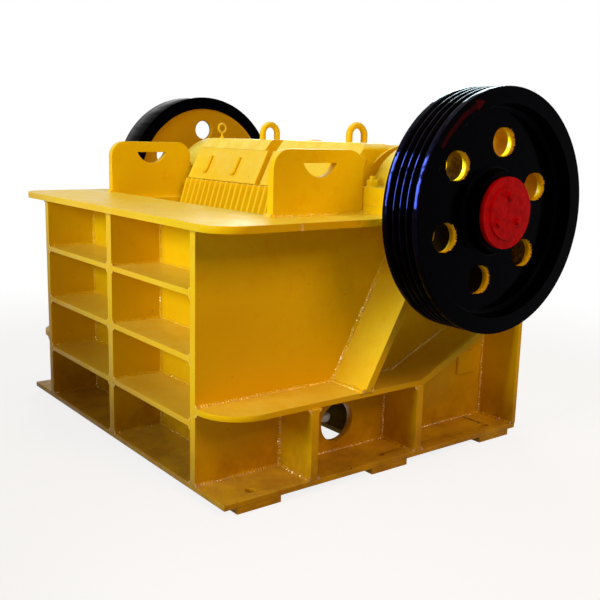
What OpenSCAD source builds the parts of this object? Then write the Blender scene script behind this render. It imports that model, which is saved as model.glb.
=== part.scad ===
// Jaw crusher for fine crushing, a welded plate frame with a wide feed mouth.
// X runs along the shaft, +X to the grooved pulley; the pocketed front faces -Y; +Z is up.
// The origin is on the floor, at the middle of the machine's outline.

/* [Crushing chamber] */
// Width of both jaw plates
jaw_w = 1400; // [1200:10:1600]
// Gap between the swing jaw's edge and the cheek plate
jaw_side_gap = 11; // [7:1:16]
// Number of ridges across the swing jaw plate
ridge_count = 27; // [15:2:35]
// Width of a ridge's flat crest
ridge_crest = 15; // [8:1:20]
// Width of the flat valley between two ridges
ridge_valley = 11; // [6:1:16]
// Depth of the valleys
ridge_depth = 28; // [15:1:35]
// Thickness of the swing jaw plate, ridges included
swing_jaw_t = 75; // [60:1:90]
// Thickness of the fixed jaw plate, ridges included
fixed_jaw_t = 72; // [55:1:85]
// Lean of the swing jaw from upright, in degrees
jaw_angle = 17.3; // [16:0.1:18.5]
// Gap between the jaws' crests at the discharge
discharge_gap = 80; // [60:1:95]
// Height of the jaws' lower ends above the base plate
jaw_foot_h = 56; // [50:1:80]
// Height of the swing jaw's upper end above the shaft axis
jaw_head_rise = 45; // [30:1:60]
// Thickness of the cheek plates
cheek_t = 25; // [15:1:40]

/* [Base] */
// Thickness of the foot pads under the base plate
pad_t = 28; // [15:1:40]
// Length of a foot pad along the machine
pad_len = 215; // [160:1:260]
// Width of a foot pad
pad_w = 140; // [110:1:160]
// Thickness of the base plate
base_t = 24; // [16:1:40]
// Length of the base plate
base_len = 1755; // [1740:1:1820]
// Distance from the base plate's side edge to a foundation bolt
bolt_inset = 70; // [55:1:80]
// Distance from the front edge to the first foundation bolt
bolt_front = 168; // [130:1:200]
// Distance from the rear edge to the last foundation bolt
bolt_rear = 157; // [130:1:200]
// Radius of the foundation bolt holes
bolt_hole_r = 21; // [12:1:30]
// Radius of the small drain hole in each side of the base plate
drain_hole_r = 9; // [5:1:15]
// Distance from the front edge to the drain hole
drain_y = 660; // [600:1:740]
// Distance from the base plate's side edge to the drain hole
drain_inset = 18; // [16:1:30]
// Length of the discharge opening in the base plate
discharge_len = 640; // [560:1:700]
// Lip of the base plate inside each side wall
discharge_lip = 16; // [5:1:30]

/* [Plate frame] */
// Height of the side walls between base plate and top plate
wall_h = 1057; // [1000:1:1100]
// Thickness of the side walls
wall_t = 40; // [30:1:50]
// Distance that ribs and braces reach out from the side walls
rib_reach = 224; // [200:1:250]
// Distance from the frame's front to the front wall
pocket_depth = 255; // [220:1:280]
// Thickness of the front wall
front_wall_t = 45; // [30:1:50]
// Thickness of a front shelf
shelf_t = 25; // [15:1:35]
// Thickness of the upright rib at the middle of the front
middle_rib_t = 48; // [30:1:60]
// Thickness of the rear wall
rear_wall_t = 25; // [20:1:40]
// Distance that the rear wall stands out past the base plate at each side
rear_wall_lip = 4; // [0:1:12]

/* [Top plate] */
// Thickness of the top plate
top_t = 30; // [20:1:36]
// Distance that the top plate reaches out from the side walls
top_reach = 236; // [226:1:260]
// Overhang of the top plate past the frame's front
top_overhang = 42; // [20:1:80]
// Radius of the top plate's front corners
top_corner_r = 135; // [60:1:200]
// Distance from the frame's front to the feed opening
feed_front = 395; // [380:1:410]

/* [Ears] */
// Distance from the frame's front to the ears
ear_front = 367; // [330:1:375]
// Length of an ear along the machine
ear_len = 490; // [440:1:490]
// Height of an ear above the top plate's underside
ear_h = 307; // [220:1:340]
// Radius of the ears' upper corners
ear_corner_r = 82; // [30:1:100]
// Length of the half moon hand hole
ear_hole_len = 179; // [120:1:220]
// Height of the half moon hand hole
ear_hole_h = 60; // [40:1:66]
// Distance from the ear's top to the hand hole
ear_hole_drop = 57; // [40:1:80]

/* [Side members] */
// Height of the middle flange's underside above the floor
flange_z = 363; // [340:1:390]
// Thickness of the middle flange
flange_t = 24; // [16:1:36]
// Distance that the flange stays back from the ribs' outer edge
flange_setback = 12; // [0:1:20]
// Radius of the flange's front corner
flange_corner_r = 195; // [60:1:205]
// Thickness of the side ribs
side_rib_t = 37; // [20:1:45]
// Distance from the frame's front to the front side rib
front_rib_y = 426; // [390:1:470]
// Distance from the frame's front to the rear side rib
rear_rib_y = 1037; // [1000:1:1060]
// Distance from the frame's front to the front brace's foot
front_brace_y = 711; // [680:1:730]
// Length of the front brace's foot on the flange
front_brace_foot = 41; // [25:1:50]
// Lean of the front brace from upright, in degrees
front_brace_angle = 29; // [26:0.5:31]
// Slope of the rear brace from level, in degrees
rear_brace_angle = 24.4; // [20:0.1:28]
// Thickness of the rear brace
rear_brace_t = 28; // [18:1:40]
// Radius of the port hole in each side wall
port_r = 92; // [70:1:100]
// Distance from the frame's front to the port hole's centre
port_y = 752; // [745:1:760]
// Height of the port hole's centre above the floor
port_z = 184; // [175:1:190]

/* [Shaft and bearings] */
// Distance from the frame's front to the shaft axis
axis_y = 1182; // [1170:1:1200]
// Height of the shaft axis above the top plate
axis_rise = 35; // [25:1:60]
// Throw of the eccentric
throw = 10; // [5:1:12]
// Radius of the shaft in the frame's bearings
journal_r = 90; // [70:1:95]
// Radius of the eccentric in the pitman
eccentric_r = 130; // [115:1:150]
// Radius of the shaft's wheel seats
wheel_seat_r = 85; // [60:1:88]
// Radius of the bearing housings' lower halves, which lie in the side walls
housing_r = 215; // [195:1:230]
// Radius of the bearing caps
housing_cap_r = 270; // [230:1:274]
// Length of the bearing housings along the shaft
housing_len = 245; // [200:1:260]
// Distance that a housing reaches into the side wall
housing_inset = 21; // [10:1:25]
// Half length of the housing's bolting flange
housing_flange_len = 322; // [270:1:324]
// Thickness of the bearing cap's bolting flange
cap_flange_t = 82; // [50:1:100]
// Distance from the housing's inner face to its inner bolts
housing_bolt_inner = 50; // [40:1:90]
// Distance from the flange's end to the housing bolts
housing_bolt_edge = 26; // [22:1:28]
// Distance from the housing's outer face to its outer bolts
housing_bolt_outer = 54; // [40:1:70]
// Radius of the housing bolts
housing_bolt_r = 18; // [12:1:22]
// Radius of the bearing covers
cover_r = 160; // [120:1:185]
// Thickness of the bearing covers
cover_t = 18; // [10:1:20]

/* [Wheels] */
// Radius of pulley and flywheel
wheel_r = 517; // [450:1:560]
// Width of pulley and flywheel
wheel_w = 198; // [180:1:240]
// Gap between a bearing housing and its wheel
wheel_gap = 109; // [90:1:140]
// Radial thickness of the rims
rim_t = 70; // [45:1:80]
// Thickness of the webs
web_t = 36; // [25:1:50]
// Depth of the pulley's web below its outer face
pulley_web_depth = 76; // [40:1:90]
// Depth of the flywheel's web below its inner face
flywheel_web_depth = 14; // [8:1:60]
// Radius of the webs' fillets at hub and rim
web_root = 25; // [6:1:30]
// Number of round holes in a web
web_hole_count = 6; // [4:1:6]
// Broken edge round the web holes' mouths
web_hole_lip = 8; // [3:1:10]
// Radius of the pulley's web holes
pulley_hole_r = 60; // [40:1:65]
// Radius of the circle through the pulley's web holes
pulley_hole_ring = 296; // [285:1:310]
// Angle of the pulley's first web hole, in degrees
pulley_hole_angle = 19.6; // [0:0.1:60]
// Radius of the flywheel's web holes
flywheel_hole_r = 56; // [40:1:65]
// Radius of the circle through the flywheel's web holes
flywheel_hole_ring = 317; // [290:1:320]
// Angle of the flywheel's first web hole, in degrees
flywheel_hole_angle = 90; // [60:0.1:120]
// Radius of the hubs
hub_r = 172; // [155:1:190]
// Length of the hubs
hub_len = 200; // [150:1:215]
// Distance that a hub's face lies inside the wheel's outer face
hub_recess = 10; // [0:1:20]
// Number of belt grooves
groove_count = 4; // [2:1:4]
// Distance between neighbouring belt grooves
groove_pitch = 37; // [33:0.5:40]
// Width of a belt groove at the rim
groove_w = 28; // [20:1:32]
// Width of a belt groove's floor
groove_floor = 14; // [8:1:18]
// Depth of the belt grooves
groove_depth = 26; // [15:1:28]
// Radius of the cap that closes a shaft end
cap_r = 151; // [130:1:154]
// Thickness of the shaft end cap
cap_t = 22; // [12:1:30]
// Radius of the raised face on the shaft end cap
cap_face_r = 112; // [90:1:120]
// Height of the raised face on the shaft end cap
cap_face_t = 8; // [4:1:14]
// Width across the corners of the cap's bolt heads
cap_bolt_w = 36; // [20:1:40]
// Height of the cap's bolt heads
cap_bolt_h = 12; // [6:1:20]
// Radius of the circle through the cap's bolts
cap_bolt_ring = 72; // [55:1:80]

/* [Pitman] */
// Radius of the pitman's bearing barrel
barrel_r = 273; // [250:1:285]
// Height of the collar around the middle of the barrel
collar_h = 14; // [6:1:30]
// Width of the collar around the middle of the barrel
collar_w = 28; // [15:1:60]
// Thickness of the plate behind the swing jaw
slab_t = 70; // [50:1:90]
// Thickness of the lower ledge that carries the swing jaw
toe_h = 28; // [15:1:32]
// Depth of the lower ledge below the jaw's crests
toe_setback = 34; // [20:1:50]
// Height of the pitman's lower end above the base plate
pitman_foot_gap = 8; // [6:1:20]
// Number of upright ribs at the pitman's back
pitman_rib_count = 5; // [3:1:7]
// Thickness of a pitman rib
pitman_rib_t = 32; // [20:1:45]
// Distance from the pitman's middle to each nose casting
nose_gap = 50; // [30:1:80]
// Distance that the noses' outer ends stand back from the barrel's ends
nose_setback = 10; // [4:1:20]
// Height of the noses above the clamp plates' upper edge
nose_h = 54; // [45:1:60]
// Depth of the noses' sloping front
nose_slope = 43; // [30:1:52]
// Distance of the noses' rear edge in front of the shaft axis
nose_back = 91; // [60:1:120]
// Length of a nose's rounded outer end
nose_round_len = 70; // [40:1:140]
// Height of a nose's rounded outer end
nose_round_h = 30; // [15:1:44]

/* [Clamp plates] */
// Gap between the two clamp plates
clamp_gap = 44; // [20:1:60]
// Length of the clamp plates up their slope
clamp_len = 191; // [170:1:200]
// Thickness of the clamp plates
clamp_t = 45; // [30:1:50]
// Lean of the clamp plates from upright, in degrees
clamp_angle = 26.4; // [24:0.1:28]
// Distance of the clamp plates' lower edge behind the jaw's crests
clamp_setback = 22; // [15:1:28]
// Radius of the hook bars on the clamp plates
hook_bar_r = 9; // [6:1:12]
// Length of the hook bars
hook_len = 82; // [60:1:110]
// Radius of the hook bars' bend
hook_bend_r = 16; // [14:1:24]
// Distance from a clamp plate's lower edge up to its hook bars
hook_foot = 42; // [30:1:60]
// Distance from the pitman's middle to the inner hook bars
hook_inner_x = 243; // [200:1:300]
// Distance from the pitman's middle to the outer hook bars
hook_outer_x = 524; // [450:1:600]

/* [Lifting gear] */
// Radius of the lifting rings' bar
ring_bar_r = 17; // [12:1:22]
// Width over the lifting rings
ring_w = 131; // [100:1:140]
// Height of the lifting rings above the barrel
ring_h = 107; // [90:1:130]
// Distance from the pitman's middle to a lifting ring
ring_x = 371; // [300:1:450]
// Distance of the lifting rings in front of the shaft axis
ring_front = 20; // [0:1:25]
// Radius of the eyebolt's bar
eye_bar_r = 5.5; // [3:0.5:7]
// Radius of the eyebolt's ring, to the middle of its bar
eye_ring_r = 24; // [16:0.5:28]
// Height of the eyebolt's shank
eye_shank_h = 32; // [20:1:60]
// Distance from the pitman's middle to the eyebolt
eye_x = 577; // [420:1:600]
// Distance from the clamp plates' upper edge back to the eyebolt
eye_back = 69; // [55:1:90]

/* [Toggle and tension rods] */
// Width of the toggle plate
toggle_w = 980; // [800:1:1000]
// Thickness of the toggle plate
toggle_t = 40; // [30:1:44]
// Distance between the toggle beam and the rear wall
beam_back = 66; // [40:1:100]
// Length of the toggle beam's section along the machine
beam_len = 125; // [90:1:140]
// Height of the toggle beam's section
beam_h = 114; // [100:1:130]
// Height of the toggle beam's centre above the floor
beam_z = 347; // [335:1:360]
// Distance that the toggle beam shows outside the side walls
beam_stub = 14; // [5:1:30]
// Depth of the toggle seats
seat_len = 39; // [30:1:50]
// Height of the pitman's toggle seat
seat_h = 130; // [115:1:140]
// Radius of the pin that the tension rods pull on
pin_r = 25; // [15:1:28]
// Radius of the tension rods
rod_r = 15; // [12:1:17]
// Radial play of the tension rods in the spring plates
rod_play = 3; // [2:1:5]
// Distance from the middle to a tension rod
rod_x = 565; // [560:1:580]
// Thickness of the tension rods' eyes
rod_eye_t = 30; // [20:1:40]
// Radial wall of the tension rods' eyes
rod_eye_wall = 22; // [15:1:28]
// Length of the tension springs
spring_len = 130; // [100:1:160]
// Radius of a tension spring, to the middle of its wire
spring_r = 36; // [32:1:42]
// Radius of the spring wire
spring_wire_r = 7.5; // [5:0.5:9]
// Number of turns in a tension spring
spring_turns = 5; // [4:1:6]
// Thickness of the spring plates
spring_plate_t = 12; // [8:1:16]
// Thickness of the rod nuts
rod_nut_t = 28; // [18:1:36]
// Width across the corners of the rod nuts
rod_nut_w = 66; // [50:1:74]

/* [Clearances] */
// Gap at a seat that isn't bolted face to face
seat_gap = 0.3; // [0.2:0.1:0.5]
// Radial gap of the shaft in its bearings
running_gap = 0.1; // [0.05:0.01:0.1]
// Least gap between a moving piece and a fixed one
safe_gap = 5; // [5:0.5:8]

/* [Hidden] */
$fn = 96;
cut = 1;

paint = [0.93, 0.72, 0.06];
wheel_black = [0.03, 0.03, 0.05];
cap_red = [0.75, 0.02, 0.10];
bare_steel = [0.45, 0.44, 0.42];

// Shelves across the front: lower, middle and upper
shelf_count = 3;

// Heights of the plate frame
base_top = pad_t + base_t;
wall_top = base_top + wall_h;
top_z = wall_top + top_t;
axis_z = top_z + axis_rise;
shelf_pitch = (wall_h + shelf_t) / (shelf_count + 1);

// Half widths across the machine
jaw_half = jaw_w / 2;
wall_in = jaw_half + jaw_side_gap + cheek_t;
wall_out = wall_in + wall_t;
base_half = wall_out + rib_reach;
flange_half = base_half - flange_setback;
top_half = wall_out + top_reach;
rear_wall_half = base_half + rear_wall_lip;
bolt_x = base_half - bolt_inset;
bolt_pitch = (base_len - bolt_front - bolt_rear) / 2;

// Lengths along the machine
rear_wall_y = base_len - rear_wall_t;
beam_y = rear_wall_y - beam_back - beam_len;
front_wall_back = pocket_depth + front_wall_t;
fixed_face_y = front_wall_back + fixed_jaw_t;
drain_x = base_half - drain_inset;

// Swing jaw: its crests lie on a leaning plane from the discharge up to the clamp plates
jaw_foot_y = fixed_face_y + discharge_gap;
jaw_foot_z = base_top + jaw_foot_h;
jaw_head_z = axis_z + jaw_head_rise;
jaw_len = (jaw_head_z - jaw_foot_z) / cos(jaw_angle);
jaw_up = [sin(jaw_angle), cos(jaw_angle)];
jaw_in = [cos(jaw_angle), -sin(jaw_angle)];
jaw_head = [jaw_foot_y, jaw_foot_z] + jaw_len * jaw_up;
function jaw_y(z) = jaw_foot_y + (z - jaw_foot_z) * tan(jaw_angle);
function slab_back_y(z) = jaw_y(z) + (swing_jaw_t + slab_t) / cos(jaw_angle);
ridge_pitch = jaw_w / ridge_count;

// Clamp plates: lower front edge, and the upper front edge where the noses begin
clamp_up = [sin(clamp_angle), cos(clamp_angle)];
clamp_in = [cos(clamp_angle), -sin(clamp_angle)];
clamp_drop = (clamp_setback + clamp_t * clamp_in[0]) * tan(jaw_angle) + clamp_t * clamp_in[1];
clamp_foot = [jaw_head[0] + clamp_setback, jaw_head[1] - clamp_drop + seat_gap];
clamp_head = clamp_foot + clamp_len * clamp_up;

// Bearings and wheels along the shaft
housing_in = wall_out - housing_inset;
housing_out = housing_in + housing_len;
wheel_in = housing_out + wheel_gap;
wheel_out = wheel_in + wheel_w;
hub_out = wheel_out - hub_recess;
hub_in = hub_out - hub_len;
eccentric_half = jaw_half + cover_t / 2;
eccentric_z = axis_z - throw;
cover_bore_r = journal_r + running_gap;

// Toggle: it leans on the beam's seat and stands clear of the pitman's seat
toggle_r = toggle_t / 2;
beam_seat_y = beam_y - seat_len;
seat_bottom = port_z + pin_r + safe_gap;
pitman_seat_z = seat_bottom + seat_h / 2;
pitman_seat_r = toggle_r + throw + safe_gap;
toggle_front = [port_y - safe_gap, pitman_seat_z + throw];
toggle_rear = [beam_seat_y, beam_z];
toggle_slope = atan2(toggle_rear[1] - toggle_front[1], toggle_rear[0] - toggle_front[0]);
seat_half = toggle_w / 2 + safe_gap;

// Tension rods: their eyes leave the pin room to go round
rod_z = port_z + throw;
rod_eye_bore = pin_r + throw + safe_gap;
lug_t = rod_eye_t;
lug_x = (rod_eye_t + lug_t) / 2 + safe_gap;
lug_r = pin_r + rod_eye_wall;
pin_half = jaw_half - safe_gap;
spring_start = base_len + spring_plate_t;
spring_end = spring_start + spring_len;
rod_end = spring_end + spring_plate_t + rod_nut_t * 2;
spring_plate_r = spring_r + spring_wire_r * 2;

// The middle of the outline along the machine
outline_mid = (rod_end - top_overhang) / 2;

// Puts a piece from the frame's own Y, counted from its front, into the part's frame
module placed() {
    translate([0, -outline_mid, 0])
        children();
}

// A bar along X with a section drawn as [Y, Z] points
module bar_x(x0, x1) {
    translate([x0, 0, 0])
        rotate([90, 0, 90])
            linear_extrude(height = x1 - x0)
                children();
}

// A round bar along X
module round_x(x0, x1, y, z, r) {
    translate([x0, y, z])
        rotate([0, 90, 0])
            cylinder(r = r, h = x1 - x0);
}

// A body turned about the shaft axis from an outline of [radius, X] points
module turned_x() {
    translate([0, axis_y, axis_z])
        rotate([0, 90, 0])
            rotate([0, 0, 180])
                rotate_extrude()
                    children();
}

// A plate with rounded front corners, lying flat, drawn from above
module corner_plate(half, y0, y1, r) {
    translate([-half, y0 + r])
        square([half * 2, y1 - y0 - r]);
    translate([r - half, y0])
        square([(half - r) * 2, r]);
    for (side = [-1, 1])
        translate([side * (half - r), y0 + r])
            circle(r = r);
}

// Base

module base_plate() {
    color(paint) placed() difference() {
        translate([-base_half, 0, pad_t])
            cube([base_half * 2, base_len, base_t]);
        translate([discharge_lip - wall_in, front_wall_back, pad_t - cut])
            cube([(wall_in - discharge_lip) * 2, discharge_len, base_t + cut * 2]);
        foundation_holes();
        for (side = [-1, 1])
            translate([side * drain_x, drain_y, pad_t - cut])
                cylinder(r = drain_hole_r, h = base_t + cut * 2);
    }
}

module foundation_holes() {
    for (side = [-1, 1])
        for (row = [0:2])
            translate([side * bolt_x, bolt_front + row * bolt_pitch, -cut])
                cylinder(r = bolt_hole_r, h = base_top + cut * 2);
}

module foot_pads() {
    color(paint) placed() difference() {
        for (side = [-1, 1])
            for (row = [0:2])
                translate([side * bolt_x - pad_w / 2, bolt_front + row * bolt_pitch - pad_len / 2, 0])
                    cube([pad_w, pad_len, pad_t]);
        foundation_holes();
    }
}

// Plate frame

// An ear seen from the side, its upper corners round
module ear_outline() {
    z1 = wall_top + ear_h;
    translate([ear_front, wall_top - cut])
        square([ear_len, ear_h + cut - ear_corner_r]);
    translate([ear_front + ear_corner_r, z1 - ear_corner_r * 2])
        square([ear_len - ear_corner_r * 2, ear_corner_r * 2]);
    for (y = [ear_front + ear_corner_r, ear_front + ear_len - ear_corner_r])
        translate([y, z1 - ear_corner_r])
            circle(r = ear_corner_r);
}

// The half moon hand hole: the lower part of a circle under a level edge
module ear_hole_outline() {
    hole_r = (pow(ear_hole_len / 2, 2) + pow(ear_hole_h, 2)) / (ear_hole_h * 2);
    flat_z = wall_top + ear_h - ear_hole_drop;
    intersection() {
        translate([ear_front + ear_len / 2, flat_z - ear_hole_h + hole_r])
            circle(r = hole_r);
        translate([ear_front, flat_z - ear_hole_h * 2])
            square([ear_len, ear_hole_h * 2]);
    }
}

module side_wall() {
    color(paint) placed() bar_x(wall_in, wall_out) difference() {
        union() {
            translate([0, base_top])
                square([rear_wall_y, wall_h]);
            ear_outline();
        }
        ear_hole_outline();
        translate([axis_y, axis_z])
            circle(r = housing_r + seat_gap);
        translate([port_y, port_z])
            circle(r = port_r);
        translate([beam_y - seat_gap, beam_z - beam_h / 2 - seat_gap])
            square([beam_len + seat_gap * 2, beam_h + seat_gap * 2]);
    }
}

module side_wall_right() side_wall();
module side_wall_left() mirror([1, 0, 0]) side_wall();

module front_wall() {
    color(paint) placed()
        translate([-wall_in, pocket_depth, base_top])
            cube([wall_in * 2, front_wall_t, wall_h]);
}

module rear_wall() {
    color(paint) placed() difference() {
        translate([-rear_wall_half, rear_wall_y, base_top])
            cube([rear_wall_half * 2, rear_wall_t, wall_h]);
        for (side = [-1, 1])
            translate([side * rod_x, rear_wall_y - cut, rod_z])
                rotate([-90, 0, 0])
                    cylinder(r = rod_r + rod_play + safe_gap, h = rear_wall_t + cut * 2);
    }
}

// One shelf, in two halves beside the middle rib
module front_shelf(number) {
    color(paint) placed()
        for (x = [-wall_in, middle_rib_t / 2])
            translate([x, 0, base_top + number * shelf_pitch - shelf_t])
                cube([wall_in - middle_rib_t / 2, pocket_depth, shelf_t]);
}

module front_shelf_lower() front_shelf(1);
module front_shelf_middle() front_shelf(2);
module front_shelf_upper() front_shelf(3);

module front_middle_rib() {
    color(paint) placed()
        translate([-middle_rib_t / 2, 0, base_top])
            cube([middle_rib_t, pocket_depth, wall_h]);
}

// Top plates

module top_plate() {
    side_end = axis_y - housing_r - seat_gap;
    color(paint) placed() translate([0, 0, wall_top]) linear_extrude(height = top_t) difference() {
        corner_plate(top_half, -top_overhang, side_end, top_corner_r);
        translate([-wall_in, feed_front])
            square([wall_in * 2, side_end]);
        for (x = [-wall_out - seat_gap, wall_in - seat_gap])
            translate([x, ear_front - seat_gap])
                square([wall_t + seat_gap * 2, ear_len + seat_gap * 2]);
    }
}

module rear_top_plate() {
    side_start = axis_y + housing_r + seat_gap;
    barrel_end = axis_y + barrel_r + collar_h + throw + safe_gap;
    color(paint) placed() translate([0, 0, wall_top]) linear_extrude(height = top_t) difference() {
        translate([-top_half, side_start])
            square([top_half * 2, base_len - side_start]);
        translate([-wall_in, side_start - cut])
            square([wall_in * 2, barrel_end - side_start + cut]);
    }
}

// Side members

module mid_flange() {
    color(paint) placed() translate([0, 0, flange_z]) linear_extrude(height = flange_t) intersection() {
        corner_plate(flange_half, 0, rear_rib_y + side_rib_t, flange_corner_r);
        translate([wall_out, 0])
            square([rib_reach, base_len]);
    }
}

module mid_flange_right() mid_flange();
module mid_flange_left() mirror([1, 0, 0]) mid_flange();

module side_rib(y) {
    color(paint) placed()
        translate([wall_out, y, base_top])
            cube([rib_reach, side_rib_t, flange_z - base_top]);
}

module front_rib_right() side_rib(front_rib_y);
module front_rib_left() mirror([1, 0, 0]) side_rib(front_rib_y);
module rear_rib_right() side_rib(rear_rib_y);
module rear_rib_left() mirror([1, 0, 0]) side_rib(rear_rib_y);

// The front brace leans back from the flange and ends under the bearing housing
module front_brace() {
    foot_z = flange_z + flange_t;
    shift = (axis_z - foot_z) * tan(front_brace_angle);
    color(paint) placed() bar_x(wall_out, base_half) difference() {
        polygon([
            [front_brace_y, foot_z],
            [front_brace_y + front_brace_foot, foot_z],
            [front_brace_y + front_brace_foot + shift, axis_z],
            [front_brace_y + shift, axis_z]
        ]);
        translate([axis_y, axis_z])
            circle(r = housing_r + seat_gap);
        translate([front_brace_y, wall_top])
            square([shift * 2, wall_h]);
    }
}

module front_brace_right() front_brace();
module front_brace_left() mirror([1, 0, 0]) front_brace();

// The rear brace climbs from the flange's end to the rear wall
module rear_brace() {
    start_y = rear_rib_y + side_rib_t;
    start_z = flange_z + flange_t;
    climb = (rear_wall_y - start_y) * tan(rear_brace_angle);
    depth = rear_brace_t / cos(rear_brace_angle);
    color(paint) placed() bar_x(wall_out, flange_half) polygon([
        [start_y, start_z - depth],
        [rear_wall_y, start_z + climb - depth],
        [rear_wall_y, start_z + climb],
        [start_y, start_z]
    ]);
}

module rear_brace_right() rear_brace();
module rear_brace_left() mirror([1, 0, 0]) rear_brace();

// Bearings

// Holes for the bolts that hold a bearing cap down on its seat
module housing_bolt_holes() {
    for (x = [housing_in + housing_bolt_inner, housing_out - housing_bolt_outer])
        for (side = [-1, 1])
            translate([
                x,
                axis_y + side * (housing_flange_len - housing_bolt_edge),
                wall_top - cut
            ])
                cylinder(r = housing_bolt_r, h = top_t + axis_rise + cap_flange_t + cut * 2);
}

module bearing_seat() {
    color(paint) placed() difference() {
        union() {
            translate([housing_in, axis_y - housing_flange_len, top_z])
                cube([housing_len, housing_flange_len * 2, axis_rise]);
            intersection() {
                round_x(housing_in, housing_out, axis_y, axis_z, housing_r);
                translate([housing_in, axis_y - housing_r, axis_z - housing_r])
                    cube([housing_len, housing_r * 2, housing_r]);
            }
        }
        round_x(housing_in - cut, housing_out + cut, axis_y, axis_z, journal_r + running_gap);
        housing_bolt_holes();
    }
}

module bearing_seat_right() bearing_seat();
module bearing_seat_left() mirror([1, 0, 0]) bearing_seat();

module bearing_cap() {
    color(paint) placed() difference() {
        union() {
            translate([housing_in, axis_y - housing_flange_len, axis_z])
                cube([housing_len, housing_flange_len * 2, cap_flange_t]);
            intersection() {
                round_x(housing_in, housing_out, axis_y, axis_z, housing_cap_r);
                translate([housing_in, axis_y - housing_cap_r, axis_z])
                    cube([housing_len, housing_cap_r * 2, housing_cap_r]);
            }
        }
        round_x(housing_in - cut, housing_out + cut, axis_y, axis_z, journal_r + running_gap);
        housing_bolt_holes();
    }
}

module bearing_cap_right() bearing_cap();
module bearing_cap_left() mirror([1, 0, 0]) bearing_cap();

// One ring on each face of each housing
module bearing_covers() {
    color(paint) placed()
        for (x = [-housing_out - cover_t, -housing_in, housing_in - cover_t, housing_out])
            difference() {
                round_x(x, x + cover_t, axis_y, axis_z, cover_r);
                round_x(x - cut, x + cover_t + cut, axis_y, axis_z, cover_bore_r);
            }
}

// Crushing chamber

// A jaw plate from above: flat crests at Y = 0, flat valleys at ridge_depth, its back at t
module jaw_outline(count, t) {
    foot = ridge_pitch - ridge_valley;
    polygon(concat(
        [[-jaw_half, ridge_depth]],
        [
            for (i = [0:count - 1])
                for (corner = [[-foot, ridge_depth], [-ridge_crest, 0], [ridge_crest, 0], [foot, ridge_depth]])
                    [(i - (count - 1) / 2) * ridge_pitch + corner[0] / 2, corner[1]]
        ],
        [[jaw_half, ridge_depth], [jaw_half, t], [-jaw_half, t]]
    ));
}

module fixed_jaw_plate() {
    color(paint) placed()
        translate([0, fixed_face_y, jaw_foot_z])
            linear_extrude(height = wall_top - jaw_foot_z)
                mirror([0, 1])
                    jaw_outline(ridge_count - 1, fixed_jaw_t);
}

// Local frame of the swing jaw: Y goes in behind its crests, Z goes up its length
module jaw_frame() {
    translate([0, jaw_foot_y, jaw_foot_z])
        rotate([-jaw_angle, 0, 0])
            children();
}

module swing_jaw_plate() {
    color(paint) placed()
        jaw_frame()
            linear_extrude(height = jaw_len)
                jaw_outline(ridge_count, swing_jaw_t);
}

// A cheek plate lines the side wall between the jaws and ends behind the swing jaw's back
module cheek_plate() {
    color(paint) placed() bar_x(wall_in - cheek_t, wall_in) polygon([
        [front_wall_back, jaw_foot_z],
        [slab_back_y(jaw_foot_z), jaw_foot_z],
        [slab_back_y(wall_top), wall_top],
        [front_wall_back, wall_top]
    ]);
}

module cheek_plate_right() cheek_plate();
module cheek_plate_left() mirror([1, 0, 0]) cheek_plate();

// Pitman

module pitman() {
    color(paint) placed() difference() {
        union() {
            bar_x(-jaw_half, jaw_half)
                pitman_section();
            round_x(-collar_w / 2, collar_w / 2, axis_y, eccentric_z, barrel_r + collar_h);
            for (side = [0, 1])
                mirror([side, 0, 0])
                    pitman_nose();
            pitman_ribs();
            pitman_seat();
            for (side = [-1, 1])
                for (face = [-1, 1])
                    pitman_lug(side * rod_x + face * lug_x);
        }
        round_x(-jaw_half - cut, jaw_half + cut, axis_y, eccentric_z, eccentric_r + running_gap);
        round_x(-seat_half - cut, seat_half + cut, toggle_front[0], pitman_seat_z, pitman_seat_r);
        round_x(-jaw_half, jaw_half, port_y, port_z, pin_r + running_gap);
    }
}

// The pitman from the side: barrel, the plate behind the swing jaw with the ledge that
// carries the jaw's lower end, and the block between the clamp plates and the barrel
module pitman_section() {
    low = clamp_foot + clamp_t * clamp_in;
    high = clamp_head + clamp_t * clamp_in;
    slab_head = jaw_head + swing_jaw_t * jaw_in;
    difference() {
        union() {
            translate([axis_y, eccentric_z])
                circle(r = barrel_r);
            translate([jaw_foot_y, jaw_foot_z])
                rotate(-jaw_angle) {
                    translate([swing_jaw_t, -toe_h])
                        square([slab_t, jaw_len + toe_h]);
                    translate([toe_setback, -toe_h])
                        square([swing_jaw_t - toe_setback + cut, toe_h]);
                }
            polygon([
                low,
                slab_head + seat_gap * jaw_up,
                slab_head + slab_t / 2 * jaw_in - slab_t * jaw_up,
                [axis_y, eccentric_z],
                [axis_y, eccentric_z + barrel_r / 2],
                high
            ]);
        }
        square([base_len, base_top + pitman_foot_gap]);
    }
}

// A nose stands over the clamp plate's upper end; its outer end is rounded off
module pitman_nose() {
    nose_top = clamp_head[1] + nose_h;
    back = clamp_head + clamp_t * clamp_in;
    round_steps = 8;
    nose_end = jaw_half - nose_setback;
    round_end = nose_end - nose_round_len;
    intersection() {
        bar_x(nose_gap, nose_end) polygon([
            clamp_head,
            back,
            [axis_y - nose_back, eccentric_z],
            [axis_y - nose_back, nose_top],
            [clamp_head[0] + nose_slope, nose_top]
        ]);
        translate([0, base_len, 0])
            rotate([90, 0, 0])
                linear_extrude(height = base_len)
                    polygon(concat(
                        [[0, axis_z - nose_round_len], [0, nose_top + cut]],
                        [[round_end, nose_top + cut]],
                        [
                            for (i = [0:round_steps])
                                [
                                    round_end + nose_round_len * sin(i * 90 / round_steps),
                                    nose_top - nose_round_h * (1 - cos(i * 90 / round_steps))
                                ]
                        ],
                        [[nose_end, axis_z - nose_round_len]]
                    ));
    }
}

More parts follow.
